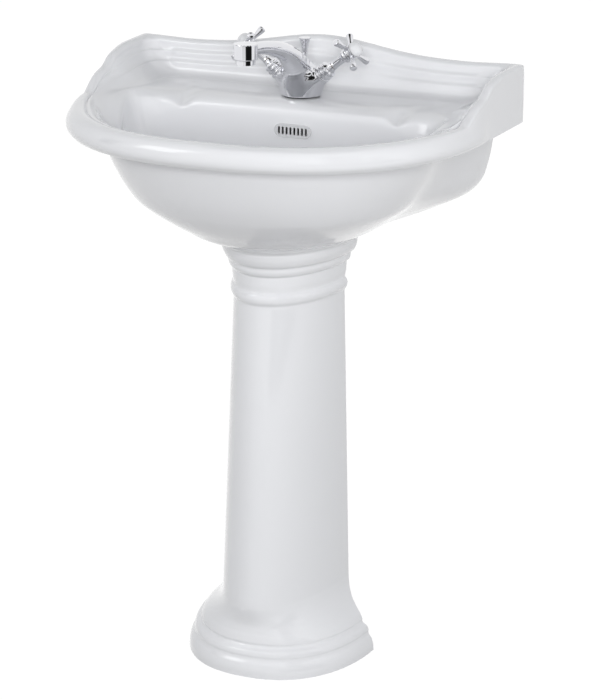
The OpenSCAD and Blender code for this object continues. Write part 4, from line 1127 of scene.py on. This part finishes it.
def plane(name, centre, size, normal, mat):
    me = bpy.data.meshes.new(name)
    w, h = size[0] / 2, size[1] / 2
    me.from_pydata([(-w, -h, 0), (w, -h, 0), (w, h, 0), (-w, h, 0)], [], [(0, 1, 2, 3)])
    o = bpy.data.objects.new(name, me)
    o.location = centre
    o.rotation_mode = "QUATERNION"
    o.rotation_quaternion = Vector(normal).normalized().to_track_quat("Z", "Y")
    me.materials.append(mat)
    bpy.context.scene.collection.objects.link(o)
    return o


def white_floor():
    """White to the eye and in reflections, with the object's shadow on it."""
    m = bpy.data.materials.new("white_floor")
    m.use_nodes = True
    nt = m.node_tree
    b = nt.nodes["Principled BSDF"]
    b.inputs["Base Color"].default_value = (0.3, 0.3, 0.3, 1)
    b.inputs["Roughness"].default_value = 0.8
    fac = math_node(nt, "MULTIPLY", seen_rays(nt), 0.94)
    mixed = mix_shaders(nt, fac, b.outputs["BSDF"], emission(nt, (1, 1, 1), 1.07))
    nt.links.new(mixed, nt.nodes["Material Output"].inputs["Surface"])
    return m


def card_material(name, level, size, edge=0.35):
    """Flat grey that fades out towards the card's edges."""
    m = bpy.data.materials.new(name)
    m.use_nodes = True
    nt = m.node_tree
    nt.nodes.clear()
    split = nt.nodes.new("ShaderNodeSeparateXYZ")
    nt.links.new(nt.nodes.new("ShaderNodeTexCoord").outputs["Object"], split.inputs["Vector"])
    shares = []
    for axis, length in zip("XY", size):
        fade = nt.nodes.new("ShaderNodeMapRange")
        fade.interpolation_type = "SMOOTHSTEP"
        fade.inputs["From Min"].default_value = length / 2 * (1 - edge)
        fade.inputs["From Max"].default_value = length / 2
        fade.inputs["To Min"].default_value = 1
        fade.inputs["To Max"].default_value = 0
        nt.links.new(math_node(nt, "ABSOLUTE", split.outputs[axis]), fade.inputs["Value"])
        shares.append(fade.outputs["Result"])
    clear = nt.nodes.new("ShaderNodeBsdfTransparent").outputs["BSDF"]
    grey = emission(nt, (level, level, level), 1.0)
    mixed = mix_shaders(nt, math_node(nt, "MULTIPLY", *shares), clear, grey)
    nt.links.new(mixed, nt.nodes.new("ShaderNodeOutputMaterial").inputs["Surface"])
    return m


def reflector(name, azimuth, height, distance, size, level, lean=0.0):
    """A card that only shows in polished surfaces."""
    a = math.radians(azimuth)
    at = Vector((math.sin(a) * distance, -math.cos(a) * distance, height))
    o = plane(name, at, size, (-math.sin(a), math.cos(a), lean), card_material(name, level, size))
    o.visible_camera = o.visible_diffuse = o.visible_shadow = o.visible_transmission = False


def white_world():
    """Soft light on the object, and white to the eye and in reflections."""
    world = bpy.data.worlds.new("studio")
    bpy.context.scene.world = world
    world.use_nodes = True
    nt = world.node_tree
    soft = nt.nodes["Background"]
    soft.inputs["Color"].default_value = (0.95, 0.97, 1.0, 1)
    soft.inputs["Strength"].default_value = 0.3
    white = nt.nodes.new("ShaderNodeBackground")
    white.inputs["Color"].default_value = (1, 1, 1, 1)
    white.inputs["Strength"].default_value = 1.0
    mixed = mix_shaders(nt, seen_rays(nt), soft.outputs["Background"], white.outputs["Background"])
    nt.links.new(mixed, nt.nodes["World Output"].inputs["Surface"])


def area(name, at, target, size, power, glossy=False):
    """Area light; glossy says if it shows in polished surfaces."""
    light = bpy.data.lights.new(name, "AREA")
    light.shape = "RECTANGLE"
    light.size, light.size_y = size
    light.energy = power
    o = bpy.data.objects.new(name, light)
    o.location = at
    o.rotation_mode = "QUATERNION"
    o.rotation_quaternion = (Vector(target) - Vector(at)).to_track_quat("-Z", "Y")
    o.visible_glossy = glossy
    bpy.context.scene.collection.objects.link(o)


def add_camera(at, azimuth, elevation, lens):
    cam = bpy.data.cameras.new("camera")
    cam.sensor_fit = "AUTO"
    cam.sensor_width = 36
    cam.lens = lens
    cam.clip_start, cam.clip_end = 0.05, 100
    o = bpy.data.objects.new("camera", cam)
    bpy.context.scene.collection.objects.link(o)
    az, el = math.radians(azimuth), math.radians(elevation)
    back = Vector((math.sin(az) * math.cos(el), -math.cos(az) * math.cos(el), math.sin(el)))
    right = Vector((0, 0, 1)).cross(back).normalized()
    up = back.cross(right)
    rows = [(right[k], up[k], back[k], at[k]) for k in range(3)]
    o.matrix_world = Matrix(rows + [(0, 0, 0, 1)])
    bpy.context.scene.camera = o


plane("floor", (0, 0, 0), (40, 40), (0, 0, 1), white_floor())
reflector("card_front", 10, 1.3, 3.4, (2.6, 2.4), 0.62)
reflector("card_side", 49, 1.5, 2.5, (1.3, 1.6), 0.01)
reflector("card_right", 70, 1.4, 2.6, (0.5, 1.6), 0.01)
reflector("card_left", -70, 1.5, 2.6, (0.7, 1.6), 0.01)
reflector("card_low", 54, 0.36, 2.4, (3.4, 0.9), 0.01)
reflector("card_high", 50, 2.9, 2.5, (1.5, 1.2), 0.02, -0.8)
reflector("card_zenith", 0, 3.2, 0.01, (2.4, 1.8), 0.02, -100)
white_world()
area("key_left", (-1.7, -1.9, 2.2), (0, 0, 0.6), (1.0, 1.2), 12, glossy=True)
area("key_front", (1.4, -2.9, 1.55), (0, 0, 0.55), (1.2, 1.2), 63)
area("side_right", (2.4, -0.4, 1.3), (0, 0, 0.6), (1.0, 1.4), 14)
area("side_left", (-2.5, -0.9, 1.2), (0, 0, 0.6), (1.0, 1.4), 9)
area("rear", (-1.0, 2.6, 1.7), (0, 0.1, 0.6), (1.4, 1.4), 20)
add_camera((1.35676, -2.96963, 1.52608), azimuth=23.777, elevation=17.939, lens=124.668926)
bpy.context.scene.view_settings.view_transform = "Standard"
